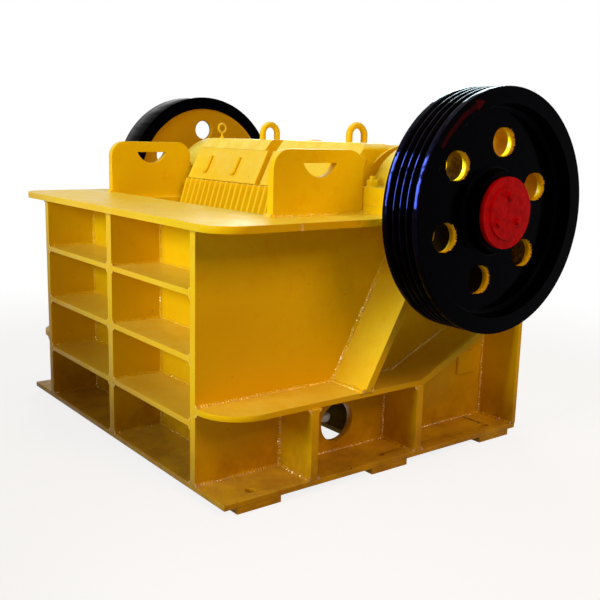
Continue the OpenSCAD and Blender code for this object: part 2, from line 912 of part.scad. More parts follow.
// Upright ribs from the barrel down to the toggle seat
module pitman_ribs() {
    outer = jaw_half - safe_gap;
    spacing = (outer * 2 - pitman_rib_t) / (pitman_rib_count - 1);
    seat_top = seat_bottom + seat_h;
    for (i = [0:pitman_rib_count - 1])
        translate([i * spacing - outer, 0, 0])
            bar_x(0, pitman_rib_t) polygon([
                [slab_back_y(seat_bottom) - slab_t / 2, seat_bottom],
                [toggle_front[0] - pitman_seat_r, seat_bottom + safe_gap],
                [toggle_front[0] - safe_gap, seat_top],
                [axis_y + barrel_r / 2, eccentric_z - barrel_r / 2],
                [axis_y, eccentric_z],
                [slab_back_y(axis_z) - slab_t / 2, axis_z]
            ]);
}

// The toggle seat across the pitman's lower back
module pitman_seat() {
    bar_x(-seat_half, seat_half) polygon([
        [slab_back_y(seat_bottom) - slab_t / 2, seat_bottom],
        [toggle_front[0], seat_bottom],
        [toggle_front[0], seat_bottom + seat_h],
        [slab_back_y(seat_bottom + seat_h) - slab_t / 2, seat_bottom + seat_h]
    ]);
}

// A lug that holds the tension rods' pin
module pitman_lug(x) {
    root_low = port_z - lug_r;
    root_high = seat_bottom + seat_h;
    bar_x(x - lug_t / 2, x + lug_t / 2) {
        translate([port_y, port_z])
            circle(r = lug_r);
        polygon([
            [slab_back_y(root_low) - slab_t / 2, root_low],
            [port_y, root_low],
            [port_y, port_z + lug_r],
            [slab_back_y(root_high) - slab_t / 2, root_high]
        ]);
    }
}

module tension_pin() {
    color(bare_steel) placed()
        round_x(-pin_half, pin_half, port_y, port_z, pin_r);
}

// Clamp plates

// Local frame of a clamp plate: Y goes in behind its front face, Z goes up its slope
module clamp_frame() {
    translate([0, clamp_foot[0], clamp_foot[1]])
        rotate([-clamp_angle, 0, 0])
            children();
}

module clamp_plates() {
    color(paint) placed() clamp_frame()
        for (x = [-jaw_half, clamp_gap / 2])
            translate([x, 0, 0])
                cube([jaw_half - clamp_gap / 2, clamp_t - seat_gap, clamp_len - seat_gap]);
}

// A hook bar: straight down the clamp plate, then bent round to the side
module hook_bar() {
    translate([0, -hook_bar_r, hook_bend_r])
        cylinder(r = hook_bar_r, h = hook_len, $fn = 24);
    translate([-hook_bend_r, -hook_bar_r, hook_bend_r])
        rotate([90, 90, 0])
            rotate_extrude(angle = 90, $fn = 48)
                translate([hook_bend_r, 0])
                    circle(r = hook_bar_r, $fn = 24);
}

module clamp_hooks() {
    color(paint) placed() clamp_frame()
        for (x = [-hook_outer_x, -hook_inner_x, hook_inner_x, hook_outer_x])
            translate([x, -seat_gap, hook_foot])
                hook_bar();
}

// Lifting gear

module lifting_rings() {
    bend_r = ring_w / 2 - ring_bar_r;
    bend_z = eccentric_z + barrel_r + ring_h - ring_w / 2;
    color(paint) placed() for (x = [-ring_x, ring_x])
        difference() {
            translate([x, axis_y - ring_front, 0]) {
                translate([0, 0, bend_z])
                    rotate([90, 0, 90])
                        rotate_extrude(angle = 180, $fn = 64)
                            translate([bend_r, 0])
                                circle(r = ring_bar_r, $fn = 32);
                for (side = [-1, 1])
                    translate([0, side * bend_r, eccentric_z + barrel_r / 2])
                        cylinder(r = ring_bar_r, h = bend_z - eccentric_z - barrel_r / 2, $fn = 32);
            }
            round_x(x - ring_w, x + ring_w, axis_y, eccentric_z, barrel_r + seat_gap);
        }
}

module eyebolt() {
    foot_z = clamp_head[1] + nose_h;
    ring_z = foot_z + eye_shank_h + eye_ring_r;
    color(paint) placed() translate([-eye_x, clamp_head[0] + eye_back, 0]) {
        translate([0, 0, foot_z])
            cylinder(r = eye_bar_r * 2, h = eye_bar_r * 2, $fn = 6);
        translate([0, 0, foot_z])
            cylinder(r = eye_bar_r, h = eye_shank_h, $fn = 24);
        translate([0, 0, ring_z])
            rotate([0, 90, 0])
                rotate_extrude($fn = 48)
                    translate([eye_ring_r, 0])
                        circle(r = eye_bar_r, $fn = 24);
    }
}

// Shaft and wheels

// The shaft, its middle thrown down by the eccentric's throw at rest
module eccentric_shaft() {
    color(bare_steel) placed() {
        round_x(-eccentric_half, eccentric_half, axis_y, eccentric_z, eccentric_r);
        round_x(-housing_out - cover_t, housing_out + cover_t, axis_y, axis_z, journal_r);
        round_x(-hub_out, hub_out, axis_y, axis_z, wheel_seat_r);
    }
}

// The round holes through a web, on a ring about the shaft, their mouths broken by cones
module web_holes(x, hole_r, ring, first_angle) {
    mouth = web_hole_lip + cut;
    for (i = [0:web_hole_count - 1])
        translate([x, axis_y, axis_z])
            rotate([first_angle + i * 360 / web_hole_count, 0, 0])
                translate([0, ring, 0])
                    rotate([0, 90, 0]) {
                        translate([0, 0, -cut])
                            cylinder(r = hole_r, h = web_t + cut * 2);
                        translate([0, 0, -cut])
                            cylinder(r1 = hole_r + mouth, r2 = hole_r, h = mouth);
                        translate([0, 0, web_t - web_hole_lip])
                            cylinder(r1 = hole_r, r2 = hole_r + mouth, h = mouth);
                    }
}

// A fillet in the corner between the two axes, which it meets at r
module fillet(r) {
    difference() {
        translate([-cut, -cut])
            square(r + cut);
        translate([r, r])
            circle(r = r);
    }
}

// Hub, web and rim of a wheel as one turned outline; x0 is the web's inner face
module wheel_outline(x0) {
    x1 = x0 + web_t;
    rim_r = wheel_r - rim_t;
    inner_root = min(web_root, x0 - wheel_in);
    translate([wheel_seat_r + seat_gap, hub_in])
        square([hub_r - wheel_seat_r - seat_gap, hub_len]);
    translate([hub_r - cut, x0])
        square([rim_r - hub_r + cut * 2, web_t]);
    translate([rim_r, wheel_in])
        square([rim_t, wheel_w]);
    translate([hub_r, x1])
        fillet(web_root);
    translate([rim_r, x1])
        mirror([1, 0])
            fillet(web_root);
    translate([hub_r, x0])
        mirror([0, 1])
            fillet(inner_root);
    translate([rim_r, x0])
        mirror([1, 0])
            mirror([0, 1])
                fillet(inner_root);
}

module pulley() {
    web_x = wheel_out - pulley_web_depth - web_t;
    color(wheel_black) placed() difference() {
        turned_x() difference() {
            wheel_outline(web_x);
            for (i = [0:groove_count - 1])
                translate([wheel_r, (wheel_in + wheel_out) / 2 + (i - (groove_count - 1) / 2) * groove_pitch])
                    polygon([
                        [cut, -groove_w / 2],
                        [cut, groove_w / 2],
                        [0, groove_w / 2],
                        [-groove_depth, groove_floor / 2],
                        [-groove_depth, -groove_floor / 2],
                        [0, -groove_w / 2]
                    ]);
        }
        web_holes(web_x, pulley_hole_r, pulley_hole_ring, pulley_hole_angle);
    }
}

module flywheel() {
    web_x = wheel_in + flywheel_web_depth;
    color(wheel_black) placed() mirror([1, 0, 0]) difference() {
        turned_x()
            wheel_outline(web_x);
        web_holes(web_x, flywheel_hole_r, flywheel_hole_ring, flywheel_hole_angle);
    }
}

// A round cap on each shaft end, with a raised face and bolt heads
module shaft_cap() {
    face = hub_out + cap_t + cap_face_t;
    round_x(hub_out, hub_out + cap_t, axis_y, axis_z, cap_r);
    round_x(hub_out, face, axis_y, axis_z, cap_face_r);
    for (i = [0:2])
        translate([face, axis_y, axis_z])
            rotate([90 + i * 120, 0, 0])
                translate([0, cap_bolt_ring, 0])
                    rotate([0, 90, 0])
                        cylinder(d = cap_bolt_w, h = cap_bolt_h, $fn = 6);
}

module shaft_caps() {
    color(cap_red) placed() {
        shaft_cap();
        mirror([1, 0, 0])
            shaft_cap();
    }
}

// Toggle and tension rods

// The beam passes through both side walls; its seat takes the toggle plate's rear end
module toggle_beam() {
    half = wall_out + beam_stub;
    color(paint) placed() difference() {
        union() {
            translate([-half, beam_y, beam_z - beam_h / 2])
                cube([half * 2, beam_len, beam_h]);
            translate([-seat_half, beam_seat_y, beam_z - beam_h / 2])
                cube([seat_half * 2, seat_len + cut, beam_h]);
        }
        round_x(-seat_half - cut, seat_half + cut, beam_seat_y, beam_z, toggle_r + seat_gap);
    }
}

module toggle_plate() {
    half = toggle_w / 2;
    span = norm(toggle_rear - toggle_front);
    color(bare_steel) placed() translate([0, toggle_front[0], toggle_front[1]])
        rotate([toggle_slope, 0, 0]) {
            translate([-half, 0, -toggle_r])
                cube([toggle_w, span, toggle_t]);
            round_x(-half, half, 0, 0, toggle_r);
            round_x(-half, half, span, 0, toggle_r);
        }
}

// A rod with its eye round the pin, its spring plate and its nuts
module tension_rod() {
    eye_r = rod_eye_bore + rod_eye_wall;
    difference() {
        union() {
            round_x(-rod_eye_t / 2, rod_eye_t / 2, port_y, rod_z, eye_r);
            translate([0, port_y, rod_z]) rotate([-90, 0, 0])
                cylinder(r = rod_r, h = rod_end - port_y, $fn = 48);
            translate([0, spring_end + seat_gap, rod_z]) rotate([-90, 0, 0]) {
                cylinder(r = spring_plate_r, h = spring_plate_t);
                cylinder(d = rod_nut_w, h = spring_plate_t + rod_nut_t, $fn = 6);
            }
        }
        round_x(-rod_eye_t, rod_eye_t, port_y, rod_z, rod_eye_bore);
    }
}

module tension_rods() {
    color(bare_steel) placed()
        for (side = [-1, 1])
            translate([side * rod_x, 0, 0])
                tension_rod();
}

// Points of one ring of the spring's wire, at an angle along the helix
function wire_ring(turn, length, sides) = [
    for (k = [0:sides - 1])
        let (
            a = turn * 360,
            out = spring_r + spring_wire_r * cos(k * 360 / sides),
            rise = spring_wire_r + (length - spring_wire_r * 2) * turn / spring_turns
        )
        [out * cos(a), out * sin(a), rise + spring_wire_r * sin(k * 360 / sides)]
];

// A coil spring standing on Z = 0
module coil_spring(length) {
    sides = 8;
    steps = spring_turns * 20;
    points = [for (i = [0:steps]) each wire_ring(i * spring_turns / steps, length, sides)];
    walls = [
        for (i = [0:steps - 1])
            for (k = [0:sides - 1])
                [
                    i * sides + k,
                    i * sides + (k + 1) % sides,
                    (i + 1) * sides + (k + 1) % sides,
                    (i + 1) * sides + k
                ]
    ];
    first = [for (k = [0:sides - 1]) sides - 1 - k];
    last = [for (k = [0:sides - 1]) steps * sides + k];
    polyhedron(points = points, faces = concat(walls, [first, last]));
}

module tension_springs() {
    color(bare_steel) placed()
        for (side = [-1, 1])
            translate([side * rod_x, base_len, rod_z])
                rotate([-90, 0, 0]) {
                    difference() {
                        cylinder(r = spring_plate_r, h = spring_plate_t);
                        translate([0, 0, -cut])
                            cylinder(r = rod_r + rod_play, h = spring_plate_t + cut * 2);
                    }
                    translate([0, 0, spring_plate_t + seat_gap])
                        coil_spring(spring_len - seat_gap);
                }
}

base_plate();
foot_pads();
side_wall_left();
side_wall_right();
front_wall();
rear_wall();
front_shelf_lower();
front_shelf_middle();
front_shelf_upper();
front_middle_rib();
top_plate();
rear_top_plate();
mid_flange_left();
mid_flange_right();
front_rib_left();
front_rib_right();
rear_rib_left();
rear_rib_right();
front_brace_left();
front_brace_right();
rear_brace_left();
rear_brace_right();
bearing_seat_left();
bearing_seat_right();
bearing_cap_left();
bearing_cap_right();
bearing_covers();
cheek_plate_left();
cheek_plate_right();
fixed_jaw_plate();
toggle_beam();
toggle_plate();
tension_rods();
tension_springs();
eccentric_shaft();
pulley();
flywheel();
shaft_caps();
pitman();
swing_jaw_plate();
clamp_plates();
lifting_rings();
eyebolt();
clamp_hooks();
tension_pin();
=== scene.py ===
# %% [markdown]
# # Painting and finishing a jaw crusher
# The plates, castings and wheels of this machine come ready made from its construction
# model, each at its real size and place. What is left for Blender is everything that a
# painter, a welder and a photographer would add: enamel, weld beads, nuts and bolts, soft
# edges, lamps and a camera. Nothing here moves or resizes a part of the frame.

# %% Load the frame
import math

import bmesh
import bpy
from mathutils import Matrix, Vector, noise


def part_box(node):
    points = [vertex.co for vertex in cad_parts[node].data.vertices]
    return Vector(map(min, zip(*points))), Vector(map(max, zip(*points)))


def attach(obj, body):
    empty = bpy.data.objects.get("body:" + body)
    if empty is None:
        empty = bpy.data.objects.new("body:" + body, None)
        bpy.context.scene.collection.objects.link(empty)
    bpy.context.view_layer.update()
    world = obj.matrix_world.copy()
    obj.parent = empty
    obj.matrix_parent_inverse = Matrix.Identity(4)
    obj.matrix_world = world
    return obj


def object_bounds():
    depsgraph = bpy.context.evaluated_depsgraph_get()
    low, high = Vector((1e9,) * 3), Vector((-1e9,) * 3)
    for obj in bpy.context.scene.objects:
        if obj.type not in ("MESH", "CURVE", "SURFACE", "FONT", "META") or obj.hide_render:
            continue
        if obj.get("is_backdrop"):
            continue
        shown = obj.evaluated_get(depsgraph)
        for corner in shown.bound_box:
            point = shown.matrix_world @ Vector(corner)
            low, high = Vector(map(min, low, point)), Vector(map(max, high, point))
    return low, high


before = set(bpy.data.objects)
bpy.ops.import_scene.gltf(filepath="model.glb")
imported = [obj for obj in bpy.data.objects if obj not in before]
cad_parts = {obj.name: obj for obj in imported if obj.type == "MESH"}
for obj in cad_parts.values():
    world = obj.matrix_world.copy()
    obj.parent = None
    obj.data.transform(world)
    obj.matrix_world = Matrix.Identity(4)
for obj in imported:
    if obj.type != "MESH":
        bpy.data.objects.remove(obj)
cad_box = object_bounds()
print("pieces in the frame:", len(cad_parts))
print("size in metres:", [round(size, 3) for size in cad_box[1] - cad_box[0]])

# %% [markdown]
# ## Reading sizes off the frame
# A weld runs where two plates meet and a nut sits on the face that it clamps. Both places
# could be typed in as numbers, but then they would be wrong as soon as a plate changed.
# Asking the frame for the box of each plate keeps every later step tied to the real faces.

# %% Faces of the plates
RIGHT = Vector((1, 0, 0))
BACK = Vector((0, 1, 0))
UP = Vector((0, 0, 1))
SHELVES = ["front_shelf_lower", "front_shelf_middle", "front_shelf_upper"]

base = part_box("base_plate")
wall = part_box("side_wall_right")
front_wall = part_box("front_wall")
rear_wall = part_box("rear_wall")
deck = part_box("top_plate")
middle_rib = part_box("front_middle_rib")
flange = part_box("mid_flange_right")
front_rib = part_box("front_rib_right")
rear_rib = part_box("rear_rib_right")
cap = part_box("bearing_cap_right")
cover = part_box("bearing_covers")
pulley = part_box("pulley")
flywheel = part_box("flywheel")

FRONT_Y = base[0].y
POCKET_Y = front_wall[0].y
BASE_Z = base[1].z
DECK_Z = deck[0].z
WALL_IN, WALL_OUT = wall[0].x, wall[1].x
AXIS = Vector((0, (cap[0].y + cap[1].y) / 2, cap[0].z))
print("shaft axis at y", round(AXIS.y, 3), "and z", round(AXIS.z, 3))

# %% [markdown]
# ## The camera
# The machine was photographed by someone standing off its front corner with the lens at
# chest height. A camera can be aimed with a tracking constraint, but three angles say the
# same thing plainly: how far it turns to the left, how far it looks down, and how far the
# hands tilted it. The lens length sets how strongly the far side shrinks.

# %% Camera at the corner of the machine
CAMERA_AT = Vector((3.583825, -2.611363, 1.472054))
CAMERA_TURN = 0.913
CAMERA_DOWN = 0.193
CAMERA_TILT = 0.025
CAMERA_LENS = 50.557
SENSOR_WIDTH = 36


def aim_camera(turn, down, tilt):
    """The camera's rotation from its three angles, in radians."""
    ahead = Vector((-math.sin(turn) * math.cos(down), math.cos(turn) * math.cos(down), -math.sin(down)))
    level = ahead.cross(UP).normalized()
    above = level.cross(ahead)
    side = math.cos(tilt) * level + math.sin(tilt) * above
    top = math.cos(tilt) * above - math.sin(tilt) * level
    return Matrix((side, top, -ahead)).transposed()


camera = bpy.data.objects.new("camera", bpy.data.cameras.new("camera"))
camera.data.lens = CAMERA_LENS
camera.data.sensor_width = SENSOR_WIDTH
camera_aim = aim_camera(CAMERA_TURN, CAMERA_DOWN, CAMERA_TILT).to_4x4()
camera.matrix_world = Matrix.Translation(CAMERA_AT) @ camera_aim
bpy.context.scene.collection.objects.link(camera)
bpy.context.scene.camera = camera
bpy.context.scene.view_settings.view_transform = "Standard"
print("camera stands", round((CAMERA_AT - AXIS).length, 2), "m from the shaft's middle")

# %% [markdown]
# ## Small tools for node trees
# Every finish below is a chain of the same few nodes: a noise, a ramp that turns it into a
# number, a mix of two paints and a bump. Wiring them by hand each time hides what a finish is
# about, so each gets one short function that returns the socket to plug in. Positions are the
# object's own: metres of the machine, which travel with a part when it turns.
#
# A noise needs three numbers: patches in a metre, their detail and its roughness. Patches
# also need the two levels of the noise where they start and where they are full. Each finish
# keeps such a row of numbers under one name.

# %% A blank material and where on the machine a point lies
def blank_material(name):
    """A material with a shader wired to its output, and the place on the machine it shades."""
    material = bpy.data.materials.new(name)
    material.use_nodes = True
    tree = material.node_tree
    tree.nodes.clear()
    shader = tree.nodes.new("ShaderNodeBsdfPrincipled")
    output = tree.nodes.new("ShaderNodeOutputMaterial")
    tree.links.new(shader.outputs["BSDF"], output.inputs["Surface"])
    return material, tree, shader, place_on_machine(tree)


def place_on_machine(tree):
    """The point being shaded, in metres from the machine's origin."""
    return tree.nodes.new("ShaderNodeTexCoord").outputs["Object"]


def put(tree, socket, value):
    """Plugs in another socket, or sets a plain number or colour."""
    if isinstance(value, bpy.types.NodeSocket):
        tree.links.new(value, socket)
    else:
        socket.default_value = value


print("materials are placed by the machine's own metres")

# %% Noise, ramp, mix and arithmetic
def cloud(tree, place, per_metre, detail, rough):
    """A soft noise with about that many patches in a metre."""
    node = tree.nodes.new("ShaderNodeTexNoise")
    put(tree, node.inputs["Vector"], place)
    node.inputs["Scale"].default_value = per_metre
    node.inputs["Detail"].default_value = detail
    node.inputs["Roughness"].default_value = rough
    return node.outputs["Fac"]


def ramp(tree, value, start, end, low=0.0, high=1.0):
    """Turns start to end into low to high, with an ease at both ends."""
    node = tree.nodes.new("ShaderNodeMapRange")
    node.interpolation_type = "SMOOTHSTEP"
    put(tree, node.inputs["Value"], value)
    for name, number in (("From Min", start), ("From Max", end), ("To Min", low), ("To Max", high)):
        node.inputs[name].default_value = number
    return node.outputs["Result"]


def patchy(tree, place, patches, low=0.0, high=1.0):
    """Patches of that kind, which go from low between them to high where they are full."""
    per_metre, detail, rough, start, full = patches
    return ramp(tree, cloud(tree, place, per_metre, detail, rough), start, full, low, high)


def blend_paint(tree, share, first, second):
    """The first paint where share is 0 and the second where it is 1."""
    node = tree.nodes.new("ShaderNodeMix")
    node.data_type = "RGBA"
    put(tree, node.inputs[0], share)
    put(tree, node.inputs[6], first)
    put(tree, node.inputs[7], second)
    return node.outputs[2]


def count(tree, kind, *values):
    """One step of arithmetic on sockets or numbers."""
    node = tree.nodes.new("ShaderNodeMath")
    node.operation = kind
    for socket, value in zip(node.inputs, values):
        put(tree, socket, value)
    return node.outputs[0]


def split(tree, vector):
    """The X, Y and Z of a place or a direction."""
    node = tree.nodes.new("ShaderNodeSeparateXYZ")
    tree.links.new(vector, node.inputs[0])
    return node.outputs


def straight(tree, back, up):
    """The length of the straight way that leads so far back and so far up."""
    squares = count(tree, "ADD", count(tree, "MULTIPLY", back, back), count(tree, "MULTIPLY", up, up))
    return count(tree, "SQRT", squares)


def bump(tree, height, depth, under=None):
    """A surface that rises by depth metres where height goes from 0 to 1."""
    node = tree.nodes.new("ShaderNodeBump")
    node.inputs["Distance"].default_value = depth
    put(tree, node.inputs["Height"], height)
    if under:
        tree.links.new(under, node.inputs["Normal"])
    return node.outputs["Normal"]


def two_bumps(tree, place, waves, wave_depth, skin, skin_depth):
    """Broad waves of the metal with the fine skin of the paint on top."""
    under = bump(tree, cloud(tree, place, *waves), wave_depth)
    return bump(tree, cloud(tree, place, *skin), skin_depth, under)


def set_gloss(shader, shine, tint):
    """How strongly a finish mirrors, and in which tint."""
    shader.inputs["Specular IOR Level"].default_value = shine
    shader.inputs["Specular Tint"].default_value = tint


def two_tone(tree, shader, place, share, paints, rough, marks, depth):
    """Goes from one paint and roughness to another with share, over marks of that depth."""
    put(tree, shader.inputs["Base Color"], blend_paint(tree, share, *paints))
    put(tree, shader.inputs["Roughness"], ramp(tree, share, 0.0, 1.0, *rough))
    put(tree, shader.inputs["Normal"], bump(tree, cloud(tree, place, *marks), depth))


print("node helpers ready")

# %% [markdown]
# ## Golden enamel
# The frame and the castings wear one thick gloss enamel, sprayed and brushed over plate that
# still has its mill scale. Up close it isn't one yellow: thin places lean to ochre, thick
# ones to lemon, and a few scuffs and specks of grit show through. One flat colour would look
# like plastic, so broad clouds drift the hue and a fine speckle carries the scuffs. A painted
# shade darkens the paint near the floor, pale dust and a painted highlight lie on what faces
# up, and two layers of bump give the slow waves of the plate and the skin of the paint.

# %% Hue of the golden enamel
GOLD = (0.89, 0.64, 0.004, 1)
DEEP_GOLD = (0.84, 0.45, 0.003, 1)
SCUFF = (0.13, 0.055, 0.006, 1)
THIN_COAT = (1.6, 3.0, 0.5, 0.35, 0.68)
BRUSHED_COAT = (17.0, 5.0, 0.65, 0.45, 0.78)
GRIT = (62.0, 2.0, 0.5, 0.752, 0.785)
THINNEST, MOST_BRUSHED, GRIT_SHOWS = 0.42, 0.5, 0.8


def enamel_hue(tree, place):
    """Golden paint that drifts between a thick and a thin coat, with scuffs in it."""
    thin = patchy(tree, place, THIN_COAT, 0.0, THINNEST)
    brushed = patchy(tree, place, BRUSHED_COAT, 0.0, MOST_BRUSHED)
    hue = blend_paint(tree, count(tree, "MAXIMUM", thin, brushed), GOLD, DEEP_GOLD)
    return blend_paint(tree, patchy(tree, place, GRIT, 0.0, GRIT_SHOWS), hue, SCUFF)


print("golden paint from", GOLD[:3], "to", DEEP_GOLD[:3])

# %% Painted shade near the floor, dust and painted highlight
# Painted shade: a dark brown that darkens the paint in patches towards the floor.
LOW_PAINTED_SHADE = (0.30, 0.115, 0.006, 1)
SHADE_TOP = 0.42
SHADE_PATCHES = (6.0, 5.0, 0.65, 0.25, 0.75)
SHADE_SHARE = (0.35, 0.85)
# Pale dust and a painted highlight: paler paint on what faces up.
TOP_DUST_AND_HIGHLIGHT = (0.96, 0.88, 0.18, 1)
DUST_AND_HIGHLIGHT_PATCHES = (12.0, 4.0, 0.6, 0.3, 0.7)
LEAST_DUST_AND_HIGHLIGHT = 0.4
STEEP, FLAT = 0.25, 0.8


def painted_shade_near_floor(tree, place):
    """How much painted shade darkens a place: most of all in the last few centimetres above the floor."""
    low = ramp(tree, split(tree, place)["Z"], 0.0, SHADE_TOP, 1.0, 0.0)
    return count(tree, "MULTIPLY", low, patchy(tree, place, SHADE_PATCHES, *SHADE_SHARE))


def dust_and_painted_highlight(tree, place, most):
    """How much pale dust and painted highlight lie on a place: none on walls, most on what faces up."""
    facing = tree.nodes.new("ShaderNodeTexCoord").outputs["Normal"]
    flat = ramp(tree, split(tree, facing)["Z"], STEEP, FLAT)
    return count(tree, "MULTIPLY", flat, patchy(tree, place, DUST_AND_HIGHLIGHT_PATCHES, most * LEAST_DUST_AND_HIGHLIGHT, most))


print("painted shade fades out", SHADE_TOP, "m above the floor")

# %% Golden enamel on plates, castings and weld beads
GOLD_GLOSS = (1.0, 0.80, 0.22, 1)
WET_GLOSS = (1.0, 0.93, 0.72, 1)
SHEEN_PATCHES = (7.0, 3.0, 0.6, 0.3, 0.7)
PLATE_WAVES = (11.0, 3.0, 0.55)
PAINT_SKIN = (170.0, 2.0, 0.5)
SKIN_DEPTH = 0.00022


def golden_enamel(name, wave_depth, rough, shine, dust_and_highlight, gloss=GOLD_GLOSS):
    """The machine's yellow, over plate or casting with waves of that depth in metres."""
    material, tree, shader, place = blank_material(name)
    # Paler on what faces up from dust and painted highlight, darker near the floor from painted shade.
    paint = blend_paint(tree, dust_and_painted_highlight(tree, place, dust_and_highlight), enamel_hue(tree, place), TOP_DUST_AND_HIGHLIGHT)
    put(tree, shader.inputs["Base Color"], blend_paint(tree, painted_shade_near_floor(tree, place), paint, LOW_PAINTED_SHADE))
    put(tree, shader.inputs["Roughness"], patchy(tree, place, SHEEN_PATCHES, *rough))
    put(tree, shader.inputs["Normal"],
        two_bumps(tree, place, PLATE_WAVES, wave_depth, PAINT_SKIN, SKIN_DEPTH))
    set_gloss(shader, shine, gloss)
    return material


plate_gold = golden_enamel("plate_gold", wave_depth=0.0022, rough=(0.30, 0.46), shine=0.15, dust_and_highlight=0.40)
cast_gold = golden_enamel("cast_gold", wave_depth=0.0040, rough=(0.30, 0.48), shine=0.36, dust_and_highlight=0.95)
bead_gold = golden_enamel("bead_gold", wave_depth=0.0010, rough=(0.08, 0.18), shine=0.72, dust_and_highlight=0.10,
                          gloss=WET_GLOSS)
print("enamels:", plate_gold.name, cast_gold.name, bead_gold.name)

# %% [markdown]
# ## Black wheels with golden hearts
# Pulley and flywheel are black where a belt or a bystander meets them, and golden inside: the
# painter sprayed the inner side of the web and the holes together with the frame, and the
# black that came later left a ragged edge in each hole. A second material on some faces would
# need the mesh to be cut along that line. Instead the shader measures where a point lies on
# the wheel, out along the shaft, away from it and round it, and picks the paint from that.
# The black has a blue cast in its gloss, which makes its rim shine blue under a clear sky.

# %% Where a point lies on a wheel
def from_shaft(tree, place):
    """How far a point lies out along the shaft, behind it and above it."""
    parts = split(tree, place)
    back = count(tree, "SUBTRACT", parts["Y"], AXIS.y)
    return parts["X"], back, count(tree, "SUBTRACT", parts["Z"], AXIS.z)


def place_on_wheel(tree, place):
    """How far a point lies out along the shaft, how far from it, and its angle round it."""
    out, back, up = from_shaft(tree, place)
    return out, straight(tree, back, up), count(tree, "ARCTAN2", up, back)


def every(tree, *tests):
    """1 where all tests are 1."""
    passed = tests[0]
    for test in tests[1:]:
        passed = count(tree, "MULTIPLY", passed, test)
    return passed


print("wheels turn about y", round(AXIS.y, 3))

# %% Black enamel and golden heart
BLACK = (0.0008, 0.0004, 0.0003, 1)
SOOT = (0.0022, 0.0014, 0.0012, 1)
SOOT_FILM = (16.0, 5.0, 0.7, 0.5, 0.8)
MOST_SOOT = 0.6
RIM_INNER_RADIUS = 0.447
RAGGED_EDGE = (120.0, 2.0, 0.6, 0.35, 0.65)
OVERSPRAY = (0.001, 0.007)
MOUTH = 0.008


def black_paint(tree, place):
    """Black with the faintest film of dust in it."""
    return blend_paint(tree, patchy(tree, place, SOOT_FILM, 0.0, MOST_SOOT), BLACK, SOOT)


def golden_heart(tree, place, out, radius, web_face):
    """1 on the golden side of the web and in its holes, with a ragged edge to the black."""
    ragged = patchy(tree, place, RAGGED_EDGE, *OVERSPRAY)
    depth = count(tree, "ADD", count(tree, "ABSOLUTE", out), ragged)
    behind = count(tree, "LESS_THAN", depth, web_face - MOUTH)
    return every(tree, behind, count(tree, "LESS_THAN", radius, RIM_INNER_RADIUS - OVERSPRAY[0]))


print("golden up to a radius of", RIM_INNER_RADIUS, "m")

# %% [markdown]
# ### Golden streaks on the mouths of the holes
# Gold was sprayed through the pulley's holes from behind, and some of it settled on the back
# half of each mouth in short streaks. Six painted rings would do, one for each hole, but the
# holes are alike, so one rule serves all: find the nearest hole, measure the way from its
# middle, and let the gold reach further where a noise is high. The noise is read in the
# direction from the hole's middle, so that it can only make streaks that run outwards.

# %% Golden streaks on the mouths of the holes
HOLE_RING = 0.296
HOLE_RADIUS = 0.060
HOLE_COUNT = 6
FIRST_HOLE = math.radians(19.6)
STREAKS = (15.0, 4.0, 0.7, 0.35, 0.65)
STREAK = 0.010


def golden_streaks(tree, radius, angle):
    """1 on the back half of each hole's mouth, in streaks that run away from the hole."""
    step = 2 * math.pi / HOLE_COUNT
    number = count(tree, "ROUND", count(tree, "DIVIDE", count(tree, "SUBTRACT", angle, FIRST_HOLE), step))
    middle = count(tree, "ADD", count(tree, "MULTIPLY", number, step), FIRST_HOLE)
    offsets = []
    for wave in ("COSINE", "SINE"):
        point = count(tree, "MULTIPLY", radius, count(tree, wave, angle))
        hole = count(tree, "MULTIPLY", HOLE_RING, count(tree, wave, middle))
        offsets.append(count(tree, "SUBTRACT", point, hole))
    back, up = offsets
    away = straight(tree, back, up)
    direction = tree.nodes.new("ShaderNodeCombineXYZ")
    for i, part in enumerate((count(tree, "DIVIDE", back, away), count(tree, "DIVIDE", up, away), number)):
        put(tree, direction.inputs[i], part)
    streaks = patchy(tree, direction.outputs[0], STREAKS, 0.0, STREAK)
    back_half = count(tree, "MAXIMUM", count(tree, "DIVIDE", back, HOLE_RADIUS), 0.0)
    reach = count(tree, "MULTIPLY", count(tree, "ADD", streaks, MOUTH / 2), back_half)
    return count(tree, "LESS_THAN", away, count(tree, "ADD", reach, HOLE_RADIUS))


print("holes in the pulley:", HOLE_COUNT)

# %% [markdown]
# ### The turning arrow
# Someone brushed a dark red arrow on the pulley's rim to show which way it turns. It bends
# with the rim, so it is simplest in the wheel's own measures: the distance walked round the
# rim from the arrow's tip, and the distance off its middle line. The head is where that second
# distance is smaller than a share of the first, and the line behind it where it is smaller than
# half a brush width. A soft noise shakes the line as a hand would, and another wears it thin.

# %% The turning arrow
ARROW_RED = (0.066, 0.0020, 0.0015, 1)
ARROW_RADIUS = 0.481
ARROW_TIP = math.radians(110.5)
ARROW_LENGTH = 0.305
ARROW_HALF = 0.0095
HEAD_LENGTH = 0.052
HEAD_HALF = 0.023
HAND_PATCHES = (14.0, 3.0, 0.5, 0.3, 0.7)
HAND_SHAKE = 0.0014
BRUSH_SOFT = 0.0025
SAME_FACE = 0.003
WORN_BRUSH = (24.0, 4.0, 0.6, 0.3, 0.7)
LINE_COVERS = (0.30, 0.62)
HEAD_COVERS = 0.85


